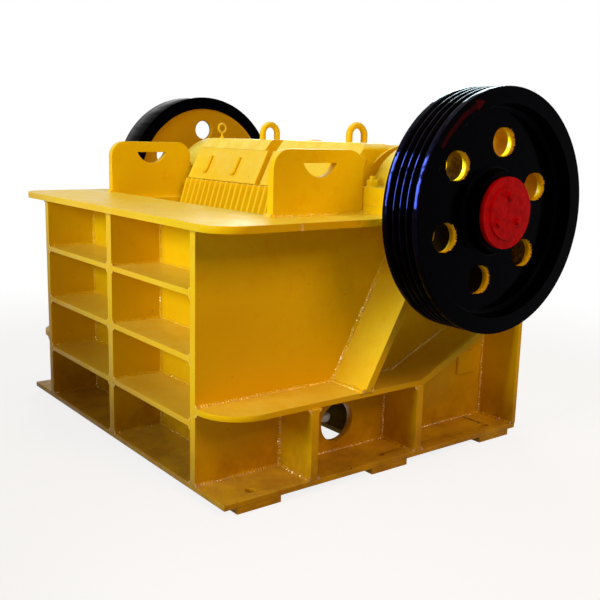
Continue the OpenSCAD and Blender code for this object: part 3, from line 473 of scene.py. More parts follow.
def turning_arrow(tree, place, out, radius, angle, rim_face):
    """How thickly the arrow's red covers a point: soft at its sides and worn along its line."""
    shake = patchy(tree, place, HAND_PATCHES, -HAND_SHAKE, HAND_SHAKE)
    off = count(tree, "ABSOLUTE", count(tree, "SUBTRACT", count(tree, "ADD", radius, shake), ARROW_RADIUS))
    walked = count(tree, "MULTIPLY", count(tree, "SUBTRACT", angle, ARROW_TIP), ARROW_RADIUS)
    on_face = count(tree, "GREATER_THAN", out, rim_face - SAME_FACE)
    inside_head = count(tree, "SUBTRACT", count(tree, "MULTIPLY", walked, HEAD_HALF / HEAD_LENGTH), off)
    head = every(tree, count(tree, "LESS_THAN", walked, HEAD_LENGTH),
                 ramp(tree, inside_head, -BRUSH_SOFT / 2, BRUSH_SOFT, 0.0, HEAD_COVERS))
    line = every(tree, ramp(tree, off, ARROW_HALF - BRUSH_SOFT, ARROW_HALF + BRUSH_SOFT, 1.0, 0.0),
                 count(tree, "GREATER_THAN", walked, HEAD_LENGTH / 2),
                 ramp(tree, walked, ARROW_LENGTH - BRUSH_SOFT, ARROW_LENGTH, 1.0, 0.0),
                 patchy(tree, place, WORN_BRUSH, *LINE_COVERS))
    return every(tree, on_face, count(tree, "MAXIMUM", head, line))


print("arrow's length round the rim:", ARROW_LENGTH)

# %% Paint of both wheels
PULLEY_WEB_DEPTH = 0.076
FLYWHEEL_WEB_DEPTH = 0.148
# Painted shade on the flywheel's gold: a brown that darkens its heart by that share.
SHADED_GOLD = (0.34, 0.12, 0.004, 1)
FLYWHEEL_PAINTED_SHADE = 0.55
BLUE_GLOSS = (0.20, 0.26, 0.80, 1)
WHEEL_SHINE = 0.013
WHEEL_PATCHES = (6.0, 3.0, 0.6, 0.3, 0.7)
WHEEL_ROUGH = (0.09, 0.15)
TURNED_WAVES = (22.0, 3.0, 0.5)
TURNED_DEPTH = 0.0007
WHEEL_SKIN = (150.0, 2.0, 0.5)
WHEEL_SKIN_DEPTH = 0.00015


def wheel_enamel(name, web_face, painted_shade, rim_face=None):
    """Black outside and golden inside, with that share of painted shade on the gold; a face is given by how
    far out it lies.
    """
    material, tree, shader, place = blank_material(name)
    out, radius, angle = place_on_wheel(tree, place)
    golden = golden_heart(tree, place, out, radius, web_face)
    if rim_face:
        golden = count(tree, "MAXIMUM", golden, golden_streaks(tree, radius, angle))
    # Painted shade darkens the gold by that share.
    heart = blend_paint(tree, painted_shade, enamel_hue(tree, place), SHADED_GOLD)
    paint = blend_paint(tree, golden, black_paint(tree, place), heart)
    if rim_face:
        arrow = turning_arrow(tree, place, out, radius, angle, rim_face)
        paint = blend_paint(tree, arrow, paint, ARROW_RED)
    put(tree, shader.inputs["Base Color"], paint)
    put(tree, shader.inputs["Roughness"], patchy(tree, place, WHEEL_PATCHES, *WHEEL_ROUGH))
    put(tree, shader.inputs["Normal"],
        two_bumps(tree, place, TURNED_WAVES, TURNED_DEPTH, WHEEL_SKIN, WHEEL_SKIN_DEPTH))
    set_gloss(shader, WHEEL_SHINE, BLUE_GLOSS)
    return material


pulley_enamel = wheel_enamel("pulley_enamel", pulley[1].x - PULLEY_WEB_DEPTH, 0.0, pulley[1].x)
flywheel_enamel = wheel_enamel("flywheel_enamel", -flywheel[0].x - FLYWHEEL_WEB_DEPTH, FLYWHEEL_PAINTED_SHADE)
print("pulley's rim face at x", round(pulley[1].x, 3))

# %% [markdown]
# ## Inside the pulley's holes
# Behind its web the pulley's holes run on as short cored bosses, so that a slanted look into
# one meets its wall and not the yard behind. The bores are golden, and a painted shade turns
# them near black below and in front of the shaft. The shader measures how far up and back
# from the shaft a point lies, and lets the gold fade into that painted shade between two
# distances.

# %% Paint of the bores
BORE_GOLD = (0.62, 0.34, 0.006, 1)
# Painted shade: the near black of the bores below and in front of the shaft.
BORE_PAINTED_SHADE = (0.004, 0.002, 0.001, 1)
LIT_SIDE_BACK, LIT_SIDE_UP = 0.6, 0.8
SHADED_BELOW, LIT_ABOVE = -0.08, 0.26
DRIFTED_SHADE_EDGE = (45.0, 4.0, 0.6, 0.3, 0.7)
SHADE_EDGE_DRIFT = 0.04
BORE_ROUGH = (0.65, 0.40)
SAND_MOULD = (70.0, 3.0, 0.6)
SAND_DEPTH = 0.0012
BORE_SHINE = 0.10


def bore_gold_and_painted_shade():
    """Gold that fades into painted shade below and in front of the shaft, on a rough cast skin."""
    material, tree, shader, place = blank_material("bore_gold_and_painted_shade")
    _, back, up = from_shaft(tree, place)
    drift = patchy(tree, place, DRIFTED_SHADE_EDGE, -SHADE_EDGE_DRIFT, SHADE_EDGE_DRIFT)
    # Painted shade: gold above and behind the shaft, near black below and in front of it.
    toward_lit_side = count(tree, "MULTIPLY_ADD", back, LIT_SIDE_BACK, count(tree, "MULTIPLY_ADD", up, LIT_SIDE_UP, drift))
    golden = ramp(tree, toward_lit_side, SHADED_BELOW, LIT_ABOVE)
    two_tone(tree, shader, place, golden, (BORE_PAINTED_SHADE, BORE_GOLD), BORE_ROUGH, SAND_MOULD, SAND_DEPTH)
    set_gloss(shader, BORE_SHINE, GOLD_GLOSS)
    return material


bore_gold_and_shade = bore_gold_and_painted_shade()
print("paint of the bores:", bore_gold_and_shade.name)

# %% [markdown]
# ## Red caps and working steel
# The caps on the shaft ends are brushed red so that a turning shaft catches the eye. The
# toggle plate, the tension rods and the springs stay unpainted: oiled steel, dull where it
# has darkened. Both need little more than a drifting colour and roughness, but the steel
# is metallic, so its colour is that of its reflections.

# %% Red enamel
RED = (0.56, 0.0010, 0.0040, 1)
DEEP_RED = (0.38, 0.0008, 0.0025, 1)
RED_GLOSS = (1.0, 0.08, 0.07, 1)
RED_SHINE = 0.08
RED_BRUSHING = (30.0, 4.0, 0.6, 0.35, 0.7)
RED_ROUGH = (0.30, 0.42)
BRUSH_MARKS = (45.0, 3.0, 0.5)
BRUSH_DEPTH = 0.0012


def red_enamel():
    """Brushed red, deeper and duller where the brush left less."""
    material, tree, shader, place = blank_material("red_enamel")
    brushed = patchy(tree, place, RED_BRUSHING)
    two_tone(tree, shader, place, brushed, (RED, DEEP_RED), RED_ROUGH, BRUSH_MARKS, BRUSH_DEPTH)
    set_gloss(shader, RED_SHINE, RED_GLOSS)
    return material


cap_red = red_enamel()
print("paint of the caps:", cap_red.name)

# %% Oiled steel
STEEL = (0.36, 0.34, 0.32, 1)
DARK_STEEL = (0.12, 0.10, 0.085, 1)
WORN_PATCHES = (24.0, 5.0, 0.7, 0.4, 0.7)
STEEL_ROUGH = (0.32, 0.62)
TOOL_MARKS = (120.0, 3.0, 0.6)
TOOL_DEPTH = 0.0004


def oiled_steel():
    """Bare metal, darker and duller where oil and dust have baked on."""
    material, tree, shader, place = blank_material("oiled_steel")
    worn = patchy(tree, place, WORN_PATCHES)
    two_tone(tree, shader, place, worn, (STEEL, DARK_STEEL), STEEL_ROUGH, TOOL_MARKS, TOOL_DEPTH)
    shader.inputs["Metallic"].default_value = 1.0
    return material


working_steel = oiled_steel()
print("finish of the working parts:", working_steel.name)

# %% [markdown]
# ## Dressing the frame
# Each part of the frame now gets its finish. Sawn and flame-cut plate never has a knife edge
# either: a grinder takes off a few millimetres before painting. A bevel modifier does the
# same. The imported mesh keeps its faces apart, so a weld modifier joins them first, and the
# bevel then finds the real edges.

# %% Finish and edge of every part
CASTINGS = ("bearing_seat", "bearing_cap", "bearing_covers", "pitman", "fixed_jaw_plate", "swing_jaw_plate",
            "clamp_plates", "lifting_rings", "clamp_hooks", "eyebolt", "toggle_beam")
STEEL_PARTS = ("toggle_plate", "tension_rods", "tension_springs", "tension_pin", "eccentric_shaft")
WHOLE_FINISH = {"pulley": pulley_enamel, "flywheel": flywheel_enamel, "shaft_caps": cap_red}
NO_BEVEL = ["tension_springs", "eyebolt", "clamp_hooks", "lifting_rings"]
PLATE_EDGE = 0.0025
CAST_EDGE = 0.004
TURNED_EDGE = 0.0015
EDGE_STEPS = 2
SAME_POINT = 0.00001
SHARP_ANGLE = math.radians(40)


def finish_of(part):
    """The material of a part, by what its name starts with."""
    if part in WHOLE_FINISH:
        return WHOLE_FINISH[part]
    if part.startswith(STEEL_PARTS):
        return working_steel
    return cast_gold if part.startswith(CASTINGS) else plate_gold


def soften_edges(part, width):
    """Joins a part's faces and rounds its sharp edges to that width."""
    joined = part.modifiers.new("join", "WELD")
    joined.merge_threshold = SAME_POINT
    edge = part.modifiers.new("edge", "BEVEL")
    edge.width = width
    edge.segments = EDGE_STEPS
    edge.limit_method = "ANGLE"
    edge.angle_limit = SHARP_ANGLE
    edge.harden_normals = True


def edge_of(part):
    """How wide the rounding of a part's edges is."""
    if part in WHOLE_FINISH:
        return TURNED_EDGE
    return CAST_EDGE if part.startswith(CASTINGS) else PLATE_EDGE


for part_name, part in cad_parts.items():
    part.data.materials.clear()
    part.data.materials.append(finish_of(part_name))
    if part_name not in NO_BEVEL:
        soften_edges(part, edge_of(part_name))
print("finished parts:", len(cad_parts))

# %% [markdown]
# ## From rings of points to a closed skin
# A weld bead, a nut and a washer have one thing in common: each is a stack of closed rings.
# Blender's own cylinder would do for a washer but not for a bead that swells and bends, so
# one short builder takes any list of rings, joins each to the next and caps both ends. The
# pieces that it makes are closed solids, with no stray faces.

# %% Ring skin and finished piece
SMOOTH_ANGLE = math.radians(35)


def skin_rings(mesh, rings):
    """Joins rings with equally many points into a closed skin."""
    rows = [[mesh.verts.new(point) for point in ring] for ring in rings]
    for row, above in zip(rows, rows[1:]):
        for i in range(len(row)):
            j = (i + 1) % len(row)
            mesh.faces.new((row[i], row[j], above[j], above[i]))
    mesh.faces.new(rows[0][::-1])
    mesh.faces.new(rows[-1])


def object_from(mesh, name):
    """Turns the mesh under work into an object of the scene."""
    data = bpy.data.meshes.new(name)
    mesh.to_mesh(data)
    mesh.free()
    made = bpy.data.objects.new(name, data)
    bpy.context.scene.collection.objects.link(made)
    return made


def finished_piece(mesh, name, body, material):
    """Turns the mesh under work into a piece that rides on a body of the machine."""
    bmesh.ops.recalc_face_normals(mesh, faces=mesh.faces[:])
    piece = object_from(mesh, name)
    piece.data.shade_smooth()
    piece.data.set_sharp_from_angle(angle=SMOOTH_ANGLE)
    piece.data.materials.append(material)
    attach(piece, body)
    print(name, "has", len(piece.data.polygons), "faces")


print("pieces keep edges sharper than", round(math.degrees(SMOOTH_ANGLE)), "degrees")

# %% [markdown]
# ## Bosses behind the pulley's holes
# A core in the mould leaves each hole, and the casting grows a collar round it at the back.
# One collar is a profile swept round the hole: at every step the four corners of its wall,
# with the outer one at the back broken into two points. Joining the last step to the first
# closes it into a ring, which the plain ring skin above can't do, because that one caps its ends.

# %% Bosses behind the pulley's holes
BOSS_GAP = 0.0002
BOSS_RADIUS = HOLE_RADIUS + BOSS_GAP
BOSS_WALL = 0.011
BOSS_FRONT = 0.103
BOSS_BACK = 0.190
BOSS_STEPS = 48
BOSS_SOFT = 0.003


def add_boss(mesh, centre):
    """A closed collar round the shaft's direction, with its outer back edge broken."""
    front, back = pulley[1].x - BOSS_FRONT, pulley[1].x - BOSS_BACK
    outer = BOSS_RADIUS + BOSS_WALL
    profile = [(BOSS_RADIUS, front), (BOSS_RADIUS, back), (outer - BOSS_SOFT, back),
               (outer, back + BOSS_SOFT), (outer, front)]
    rows = []
    for i in range(BOSS_STEPS):
        turn = 2 * math.pi * i / BOSS_STEPS
        spoke = Vector((0, math.cos(turn), math.sin(turn)))
        rows.append([mesh.verts.new(centre + spoke * reach + RIGHT * x) for reach, x in profile])
    for i, row in enumerate(rows):
        following = rows[(i + 1) % BOSS_STEPS]
        for j in range(len(profile)):
            k = (j + 1) % len(profile)
            mesh.faces.new((row[j], row[k], following[k], following[j]))


def hole_bosses():
    """One collar behind each hole of the pulley."""
    mesh = bmesh.new()
    for i in range(HOLE_COUNT):
        turn = FIRST_HOLE + 2 * math.pi * i / HOLE_COUNT
        add_boss(mesh, AXIS + Vector((0, math.cos(turn), math.sin(turn))) * HOLE_RING)
    return mesh


# The collars wear the bores' gold with its painted shade.
finished_piece(hole_bosses(), "pulley_bosses", "rotor", bore_gold_and_shade)

# %% [markdown]
# ## Weld beads
# Fillet welds hold the frame together, and on this machine they are laid by hand: a rope of
# overlapping drops about a centimetre wide, thicker where the welder started and stopped.
# Painting them with bump alone would leave the corners knife sharp, so they are real
# geometry. A line between two plates becomes a run of small rings. Each ring has its root in
# the corner, a toe on either plate and a crown between them, and swells with the ripple of
# the drops and with a slow noise that stands for the welder's hand.

# %% Lay one bead
BEAD_STEP = 0.0045
BEAD_RIPPLE = 0.013
RIPPLE_DEPTH = 0.13
HAND_DEPTH = 0.32
HAND_PER_METRE = 38
SHIVER_SHARE = 0.6
SHIVER_PER_METRE = 95
LEAN = 0.25
LEAN_PER_METRE = 27
CROWN = 0.66
ROOT_SINK = 0.0012
START_LUMP = 0.55
LUMP_LENGTH = 0.011
FEWEST_STEPS = 3


def bead_width(point, walked, length, size):
    """Width of the bead at a point, from the drops, the hand and the lumps at its ends."""
    drops = RIPPLE_DEPTH * math.sin(walked / BEAD_RIPPLE * 2 * math.pi)
    hand = HAND_DEPTH * noise.noise(point * HAND_PER_METRE)
    hand += HAND_DEPTH * SHIVER_SHARE * noise.noise(point * SHIVER_PER_METRE)
    nearest_end = min(walked, length - walked)
    lump = START_LUMP * math.exp(-(nearest_end / LUMP_LENGTH) ** 2)
    return size * (1 + drops + hand + lump)


def lay_bead(mesh, start, end, toe_a, toe_b, size):
    """A fillet weld from start to end; toe_a and toe_b point along the two plates."""
    path = end - start
    steps = max(FEWEST_STEPS, round(path.length / BEAD_STEP))
    rings = []
    for i in range(steps + 1):
        point = start + path * (i / steps)
        width = bead_width(point, path.length * i / steps, path.length, size)
        lean = 1 + LEAN * noise.noise(point * LEAN_PER_METRE + UP)
        rings.append([
            point - (toe_a + toe_b) * ROOT_SINK,
            point + toe_a * width * lean - toe_b * ROOT_SINK / 2,
            point + (toe_a + toe_b) * width * CROWN,
            point + toe_b * width / lean - toe_a * ROOT_SINK / 2,
        ])
    skin_rings(mesh, rings)


def lay_beads(name, lines, size, body="frame"):
    """All beads of one area as one piece."""
    mesh = bmesh.new()
    for start, end, toe_a, toe_b in lines:
        lay_bead(mesh, Vector(start), Vector(end), toe_a, toe_b, size)
    finished_piece(mesh, name, body, bead_gold)


print("a bead has a ring every", BEAD_STEP, "m")

# %% [markdown]
# ### Beads in the front pockets
# Eight pockets stiffen the front. Each is welded all round: its floor and ceiling to the
# front wall and to both uprights, and the uprights to the front wall. One loop over the
# levels of a column makes every line, and a second column is the first one mirrored.

# %% Beads in the front pockets
SIDES = (("left", -1), ("right", 1))
POCKET_BEAD = 0.0085


def pocket_lines(side):
    """Weld lines of the pockets on one side of the middle rib, side -1 or 1."""
    rib_x, wall_x = side * middle_rib[1].x, side * WALL_IN
    uprights = ((rib_x, RIGHT * side), (wall_x, -RIGHT * side))
    floors = [BASE_Z] + [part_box(name)[1].z for name in SHELVES]
    ceilings = [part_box(name)[0].z for name in SHELVES] + [DECK_Z]
    lines = []
    for floor_z, ceiling_z in zip(floors, ceilings):
        for z, rise in ((floor_z, UP), (ceiling_z, -UP)):
            lines.append(((rib_x, POCKET_Y, z), (wall_x, POCKET_Y, z), -BACK, rise))
            lines += [((x, FRONT_Y, z), (x, POCKET_Y, z), inward, rise) for x, inward in uprights]
        for x, inward in uprights:
            lines.append(((x, POCKET_Y, floor_z), (x, POCKET_Y, ceiling_z), inward, -BACK))
    return lines


for label, side in SIDES:
    lay_beads("pocket_beads_" + label, pocket_lines(side), POCKET_BEAD)

# %% [markdown]
# ### Beads along the sides
# Outside each wall a flange runs along the middle with ribs under it, a front brace climbs to
# the bearing and a rear brace to the back wall. The braces lean, so their lines follow the
# same slope as the plates, worked out from their angle.

# %% Beads along the sides
SIDE_BEAD = 0.0105
BRACE_LEAN = math.radians(29)
REAR_BRACE_SLOPE = math.radians(24.4)
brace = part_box("front_brace_right")
rear_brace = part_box("rear_brace_right")
BRACE_FOOT = 0.041
BEARING_RADIUS = 0.215


def level_lines(side):
    """Lines along the machine where base, flange and deck meet a side wall."""
    rear_y, foot_y = rear_wall[0].y, brace[0].y
    bays = [(FRONT_Y, front_rib[0].y), (front_rib[1].y, rear_rib[0].y), (rear_rib[1].y, rear_y)]
    runs = [(*bay, BASE_Z, UP) for bay in bays]
    runs += [(*bay, flange[0].z, -UP) for bay in bays[:2]]
    runs += [
        (FRONT_Y, foot_y, flange[1].z, UP),
        (foot_y + BRACE_FOOT, flange[1].y, flange[1].z, UP),
        (FRONT_Y, AXIS.y - BEARING_RADIUS, DECK_Z, -UP),
        (AXIS.y + BEARING_RADIUS, rear_y, DECK_Z, -UP),
    ]
    x, outward = side * WALL_OUT, RIGHT * side
    return [((x, start, z), (x, end, z), outward, rise) for start, end, z, rise in runs]


def rib_lines(side):
    """Lines round the upright ribs under the flange."""
    x, tip = side * WALL_OUT, side * front_rib[1].x
    outward = RIGHT * side
    top = flange[0].z
    lines = []
    for rib in (front_rib, rear_rib):
        for y, away in ((rib[0].y, -BACK), (rib[1].y, BACK)):
            lines.append(((x, y, BASE_Z), (x, y, top), outward, away))
            lines.append(((x, y, BASE_Z), (tip, y, BASE_Z), away, UP))
            if rib is front_rib or away == -BACK:
                lines.append(((x, y, top), (tip, y, top), away, -UP))
    return lines


def brace_lines(side):
    """Lines round the two leaning braces and the corner at the rear wall."""
    x, tip = side * WALL_OUT, side * brace[1].x
    outward = RIGHT * side
    climb = Vector((0, math.sin(BRACE_LEAN), math.cos(BRACE_LEAN)))
    across = Vector((0, math.cos(BRACE_LEAN), -math.sin(BRACE_LEAN)))
    foot_z = flange[1].z
    front_foot = Vector((x, brace[0].y, foot_z))
    length = (DECK_Z - foot_z) / math.cos(BRACE_LEAN)
    rear_foot = front_foot + BACK * BRACE_FOOT
    rear_length = length - BEARING_RADIUS / 2
    slope = Vector((0, math.cos(REAR_BRACE_SLOPE), math.sin(REAR_BRACE_SLOPE)))
    over = Vector((0, -math.sin(REAR_BRACE_SLOPE), math.cos(REAR_BRACE_SLOPE)))
    rear_reach = rear_brace[1] - rear_brace[0]
    thick = rear_reach.z - rear_reach.y * math.tan(REAR_BRACE_SLOPE)
    upper = Vector((x, rear_brace[0].y, rear_brace[0].z + thick))
    lower = Vector((x, rear_brace[0].y, rear_brace[0].z))
    run = rear_reach.y / math.cos(REAR_BRACE_SLOPE)
    rear_tip = side * rear_brace[1].x
    rear_y = rear_wall[0].y
    return [
        (front_foot, front_foot + climb * length, outward, -across),
        (rear_foot, rear_foot + climb * rear_length, outward, across),
        (front_foot, (tip, brace[0].y, foot_z), -BACK, UP),
        (rear_foot, (tip, rear_foot.y, foot_z), BACK, UP),
        (upper, upper + slope * run, outward, over),
        (lower, lower + slope * run, outward, -over),
        ((x, rear_y, rear_brace[1].z), (rear_tip, rear_y, rear_brace[1].z), -BACK, UP),
        ((x, rear_y, rear_brace[1].z), (x, rear_y, DECK_Z), -BACK, outward),
        ((x, rear_y, BASE_Z), (x, rear_y, rear_brace[1].z - thick), -BACK, outward),
        ((x, rear_y, BASE_Z), (side * base[1].x, rear_y, BASE_Z), -BACK, UP),
    ]


for label, side in SIDES:
    lay_beads("side_beads_" + label, level_lines(side) + rib_lines(side), SIDE_BEAD)
    lay_beads("brace_beads_" + label, brace_lines(side), SIDE_BEAD)

# %% [markdown]
# ### Beads on the deck
# The two lifting ears are the side walls themselves, standing up through slots in the deck,
# and a bead runs along each slot's outside and front. The same bead runs round the foot of
# each bearing seat.

# %% Beads on the deck
DECK_BEAD = 0.009
EAR_SETBACK = 0.367
EAR_LENGTH = 0.490
EAR_FRONT = FRONT_Y + EAR_SETBACK
EAR_BACK = EAR_FRONT + EAR_LENGTH
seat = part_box("bearing_seat_right")


def deck_lines(side):
    """Lines where an ear and a bearing seat stand on the deck."""
    inner, outer = side * WALL_IN, side * WALL_OUT
    outward = RIGHT * side
    z = deck[1].z
    seat_tip = side * seat[1].x
    return [
        ((outer, EAR_FRONT, z), (outer, EAR_BACK, z), outward, UP),
        ((inner, EAR_FRONT, z), (outer, EAR_FRONT, z), -BACK, UP),
        ((outer, seat[0].y, z), (seat_tip, seat[0].y, z), -BACK, UP),
        ((outer, seat[1].y, z), (seat_tip, seat[1].y, z), BACK, UP),
        ((seat_tip, seat[0].y, z), (seat_tip, AXIS.y - BEARING_RADIUS, z), outward, UP),
        ((seat_tip, AXIS.y + BEARING_RADIUS, z), (seat_tip, seat[1].y, z), outward, UP),
    ]


lay_beads("deck_beads", deck_lines(-1) + deck_lines(1), DECK_BEAD)

# %% [markdown]
# ### Splices in the deck's edge
# The deck was pieced together from several plates. Where two of them meet at the long edge,
# the welder closed the joint with a flat bead across the edge. Both of its toes lie on one
# face, so they point away from each other and only a little outward.

# %% Splices in the deck's edge
SPLICE_BEAD = 0.0065
SPLICE_PROUD = 0.30
SPLICES = (0.340, 0.630)


def splice_lines(side):
    """Upright beads across the deck's edge, each at its distance behind the machine's front."""
    toes = (RIGHT * side * SPLICE_PROUD - BACK, RIGHT * side * SPLICE_PROUD + BACK)
    x = side * deck[1].x
    return [((x, FRONT_Y + y, deck[0].z), (x, FRONT_Y + y, deck[1].z), *toes) for y in SPLICES]


lay_beads("splice_beads", splice_lines(-1) + splice_lines(1), SPLICE_BEAD)

# %% [markdown]
# ## Nuts, washers and bolt heads
# Four studs hold each bearing cap down, each with a washer and a nut, and a ring of small
# bolts closes each bearing cover. A six-sided cylinder would have knife-sharp corners. A real
# nut is turned after it is forged, so its corners are cut back by a cone at the top. The ring
# skin does that: the rings are hexagons below and a circle at the top.

# %% One nut, one washer
NUT_POINTS = 24
NUT_SHOULDER = 0.84
NUT_FACE = 0.97
CHAMFER_FOOT = 1.12
DISC_SOFT = 0.12


def hexagon_reach(turn, flats):
    """Distance from the middle to a hexagon's side in that direction, with a side at turn 0."""
    corner = math.pi / 3
    return flats / 2 / math.cos((turn + corner / 2) % corner - corner / 2)


def ring_at(centre, axis_u, axis_v, reach):
    """A closed ring of points round centre, reach(turn) away from it."""
    turns = [2 * math.pi * i / NUT_POINTS for i in range(NUT_POINTS)]
    return [centre + (axis_u * math.cos(t) + axis_v * math.sin(t)) * reach(t) for t in turns]


def add_nut(mesh, centre, up, facing, flats, height):
    """A nut or bolt head standing on centre with a side that faces facing."""
    v = up.cross(facing)
    face = flats / 2 * NUT_FACE
    skin_rings(mesh, [
        ring_at(centre, facing, v, lambda t: min(hexagon_reach(t, flats), face * CHAMFER_FOOT)),
        ring_at(centre + up * height * NUT_SHOULDER, facing, v, lambda t: hexagon_reach(t, flats)),
        ring_at(centre + up * height, facing, v, lambda t: face),
    ])


def add_disc(mesh, centre, up, radius, height):
    """A washer or a stud's end, with its upper edge broken."""
    u = up.orthogonal().normalized()
    v = up.cross(u)
    skin_rings(mesh, [
        ring_at(centre, u, v, lambda t: radius),
        ring_at(centre + up * height * (1 - DISC_SOFT), u, v, lambda t: radius),
        ring_at(centre + up * height, u, v, lambda t: radius * (1 - DISC_SOFT)),
    ])


print("a nut has", NUT_POINTS, "points in each ring")

# %% Cap studs and cover bolts
CAP_FLANGE_T = 0.082
STUD_INNER, STUD_OUTER, STUD_EDGE = 0.050, 0.054, 0.026
STUD_RADIUS = 0.015
STUD_PROUD = 0.017
STUD_NUT = 0.050
NUT_HEIGHT = 0.027
WASHER_RADIUS = 0.0305
WASHER_T = 0.004
COVER_BOLTS = 8
COVER_RING = 0.138
COVER_BOLT = 0.024
COVER_BOLT_HEIGHT = 0.010


def cap_studs(side):
    """Four studs through the flanges of one bearing cap, each with its washer and nut."""
    mesh = bmesh.new()
    for x in (cap[0].x + STUD_INNER, cap[1].x - STUD_OUTER):
        for y in (cap[0].y + STUD_EDGE, cap[1].y - STUD_EDGE):
            foot = Vector((side * x, y, cap[0].z + CAP_FLANGE_T))
            add_disc(mesh, foot, UP, WASHER_RADIUS, WASHER_T)
            add_nut(mesh, foot + UP * WASHER_T, UP, BACK, STUD_NUT, NUT_HEIGHT)
            add_disc(mesh, foot + UP * WASHER_T, UP, STUD_RADIUS, NUT_HEIGHT + STUD_PROUD)
    return mesh


def cover_bolts(side):
    """The ring of small bolts on the cover at a bearing's outer face."""
    mesh = bmesh.new()
    face = Vector((side * cover[1].x, AXIS.y, AXIS.z))
    for i in range(COVER_BOLTS):
        turn = 2 * math.pi * (i + 0.5) / COVER_BOLTS
        spoke = Vector((0, math.cos(turn), math.sin(turn)))
        add_nut(mesh, face + spoke * COVER_RING, RIGHT * side, spoke, COVER_BOLT, COVER_BOLT_HEIGHT)
    return mesh


for label, side in SIDES:
    finished_piece(cap_studs(side), "cap_studs_" + label, "frame", cast_gold)
    finished_piece(cover_bolts(side), "cover_bolts_" + label, "frame", cast_gold)

# %% [markdown]
# ### Tack welds under the clamp plates
# The two plates that clamp the swing jaw's liner are tacked to its upper edge so that they
# can't shake loose. A tack is a weld that was stopped as soon as it had begun: one fat drop.
# The bead builder makes it, with a start and an end only two drops apart. It rides on the
# swing jaw and not on the frame, so it goes along when the jaw moves.

# %% Tack welds under the clamp plates
TACK_PLACES = (0.502, 0.233)
TACK_LENGTH = 0.026
TACK_SIZE = 0.0095
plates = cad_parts["clamp_plates"].data.vertices
plate_foot = min((corner.co for corner in plates), key=lambda co: (round(co.z, 4), co.y))
print("clamp plates' lower edge at y", round(plate_foot.y, 3), "and z", round(plate_foot.z, 3))


def tack_lines():
    """Short weld lines under the plates' lower front edge."""
    lines = []
    for place in TACK_PLACES:
        for side in (-1, 1):
            start = Vector((side * place - TACK_LENGTH / 2, plate_foot.y, plate_foot.z))
            lines.append((start, start + RIGHT * TACK_LENGTH, -BACK, -UP))
    return lines


lay_beads("clamp_tacks", tack_lines(), TACK_SIZE, "swing_jaw")

# %% [markdown]
# ## A plain studio
# The machine stands on a pale floor in front of white. A floor that is simply lit goes grey
# with distance and shows a horizon, so it is matt near the machine, where it takes the
# shadow, and blends into the background's white further out. The white counts only for the
# camera and for reflections: it adds no light of its own to the paint.

# %% Floor and background
FLOOR_SIZE = 40.0
FLOOR_WHITE = (0.93, 0.93, 0.93, 1)
FLOOR_BOUNCE = (0.30, 0.29, 0.28, 1)
SHADOW_REACH = (2.0, 4.5)
SHADOW_LIFT = 0.84
AMBIENT = 0.20
AMBIENT_TINT = (1.0, 0.60, 0.30, 1)


def seen_directly(tree):
    """1 for camera rays and for reflections, 0 for the light that falls on a surface."""
    path = tree.nodes.new("ShaderNodeLightPath")
    mirrored = count(tree, "MAXIMUM", path.outputs["Is Glossy Ray"], path.outputs["Is Transmission Ray"])
    return count(tree, "MAXIMUM", path.outputs["Is Camera Ray"], mirrored)


def pale_floor():
    """A matt floor that takes a faint shadow and turns into plain white further out."""
    material = bpy.data.materials.new("pale_floor")
    material.use_nodes = True
    tree = material.node_tree
    tree.nodes.clear()
    seen = seen_directly(tree)
    matt = tree.nodes.new("ShaderNodeBsdfDiffuse")
    put(tree, matt.inputs["Color"], blend_paint(tree, seen, FLOOR_BOUNCE, FLOOR_WHITE))
    glow = tree.nodes.new("ShaderNodeEmission")
    mix = tree.nodes.new("ShaderNodeMixShader")
    distance = tree.nodes.new("ShaderNodeVectorMath")
    distance.operation = "LENGTH"
    tree.links.new(place_on_machine(tree), distance.inputs[0])
    far = ramp(tree, distance.outputs["Value"], *SHADOW_REACH, SHADOW_LIFT, 1.0)
    tree.links.new(count(tree, "MULTIPLY", far, seen), mix.inputs[0])
    tree.links.new(matt.outputs[0], mix.inputs[1])
    tree.links.new(glow.outputs[0], mix.inputs[2])
    output = tree.nodes.new("ShaderNodeOutputMaterial")
    tree.links.new(mix.outputs[0], output.inputs["Surface"])
    return material


def lay_floor():
    """One wide flat face at the machine's feet, which isn't part of the machine."""
    mesh = bmesh.new()
    bmesh.ops.create_grid(mesh, x_segments=1, y_segments=1, size=FLOOR_SIZE)
    floor = object_from(mesh, "floor")
    floor.data.materials.append(pale_floor())
    floor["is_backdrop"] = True


def white_background():
    """White where it is looked at, and a dim warm light everywhere else."""
    world = bpy.data.worlds.new("studio")
    world.use_nodes = True
    bpy.context.scene.world = world
    tree = world.node_tree
    background = tree.nodes["Background"]
    seen = seen_directly(tree)
    put(tree, background.inputs["Color"], blend_paint(tree, seen, AMBIENT_TINT, (1, 1, 1, 1)))
    put(tree, background.inputs["Strength"], ramp(tree, seen, 0.0, 1.0, AMBIENT, 1.0))


lay_floor()
white_background()
print("floor laid, background white")

# %% [markdown]
# ## Soft light
# The machine was photographed in the open under a bright sky. A wide lamp off the front lights
# the pocketed front, a warm one high on the right stands for the light that the yard throws
# on the long side, and two weak ones hang above the deck and behind the machine. Lamp power
# says little by itself, so each lamp is given by how brightly it lights a surface that faces
# it: level 1 shows a paint about as it is written.

# %% Lamps
def soft_lamp(name, place, aim, size, watts, tint):
    """A lit rectangle of that width and height, turned by the rotation aim."""
    light = bpy.data.lights.new(name, "AREA")
    light.shape = "RECTANGLE"
    light.size, light.size_y = size
    light.color = tint
    light.energy = watts
    lamp = bpy.data.objects.new(name, light)
    lamp.matrix_world = Matrix.Translation(place) @ aim.to_4x4()
    bpy.context.scene.collection.objects.link(lamp)
    print(name, "at", round(watts), "watts")
    return lamp


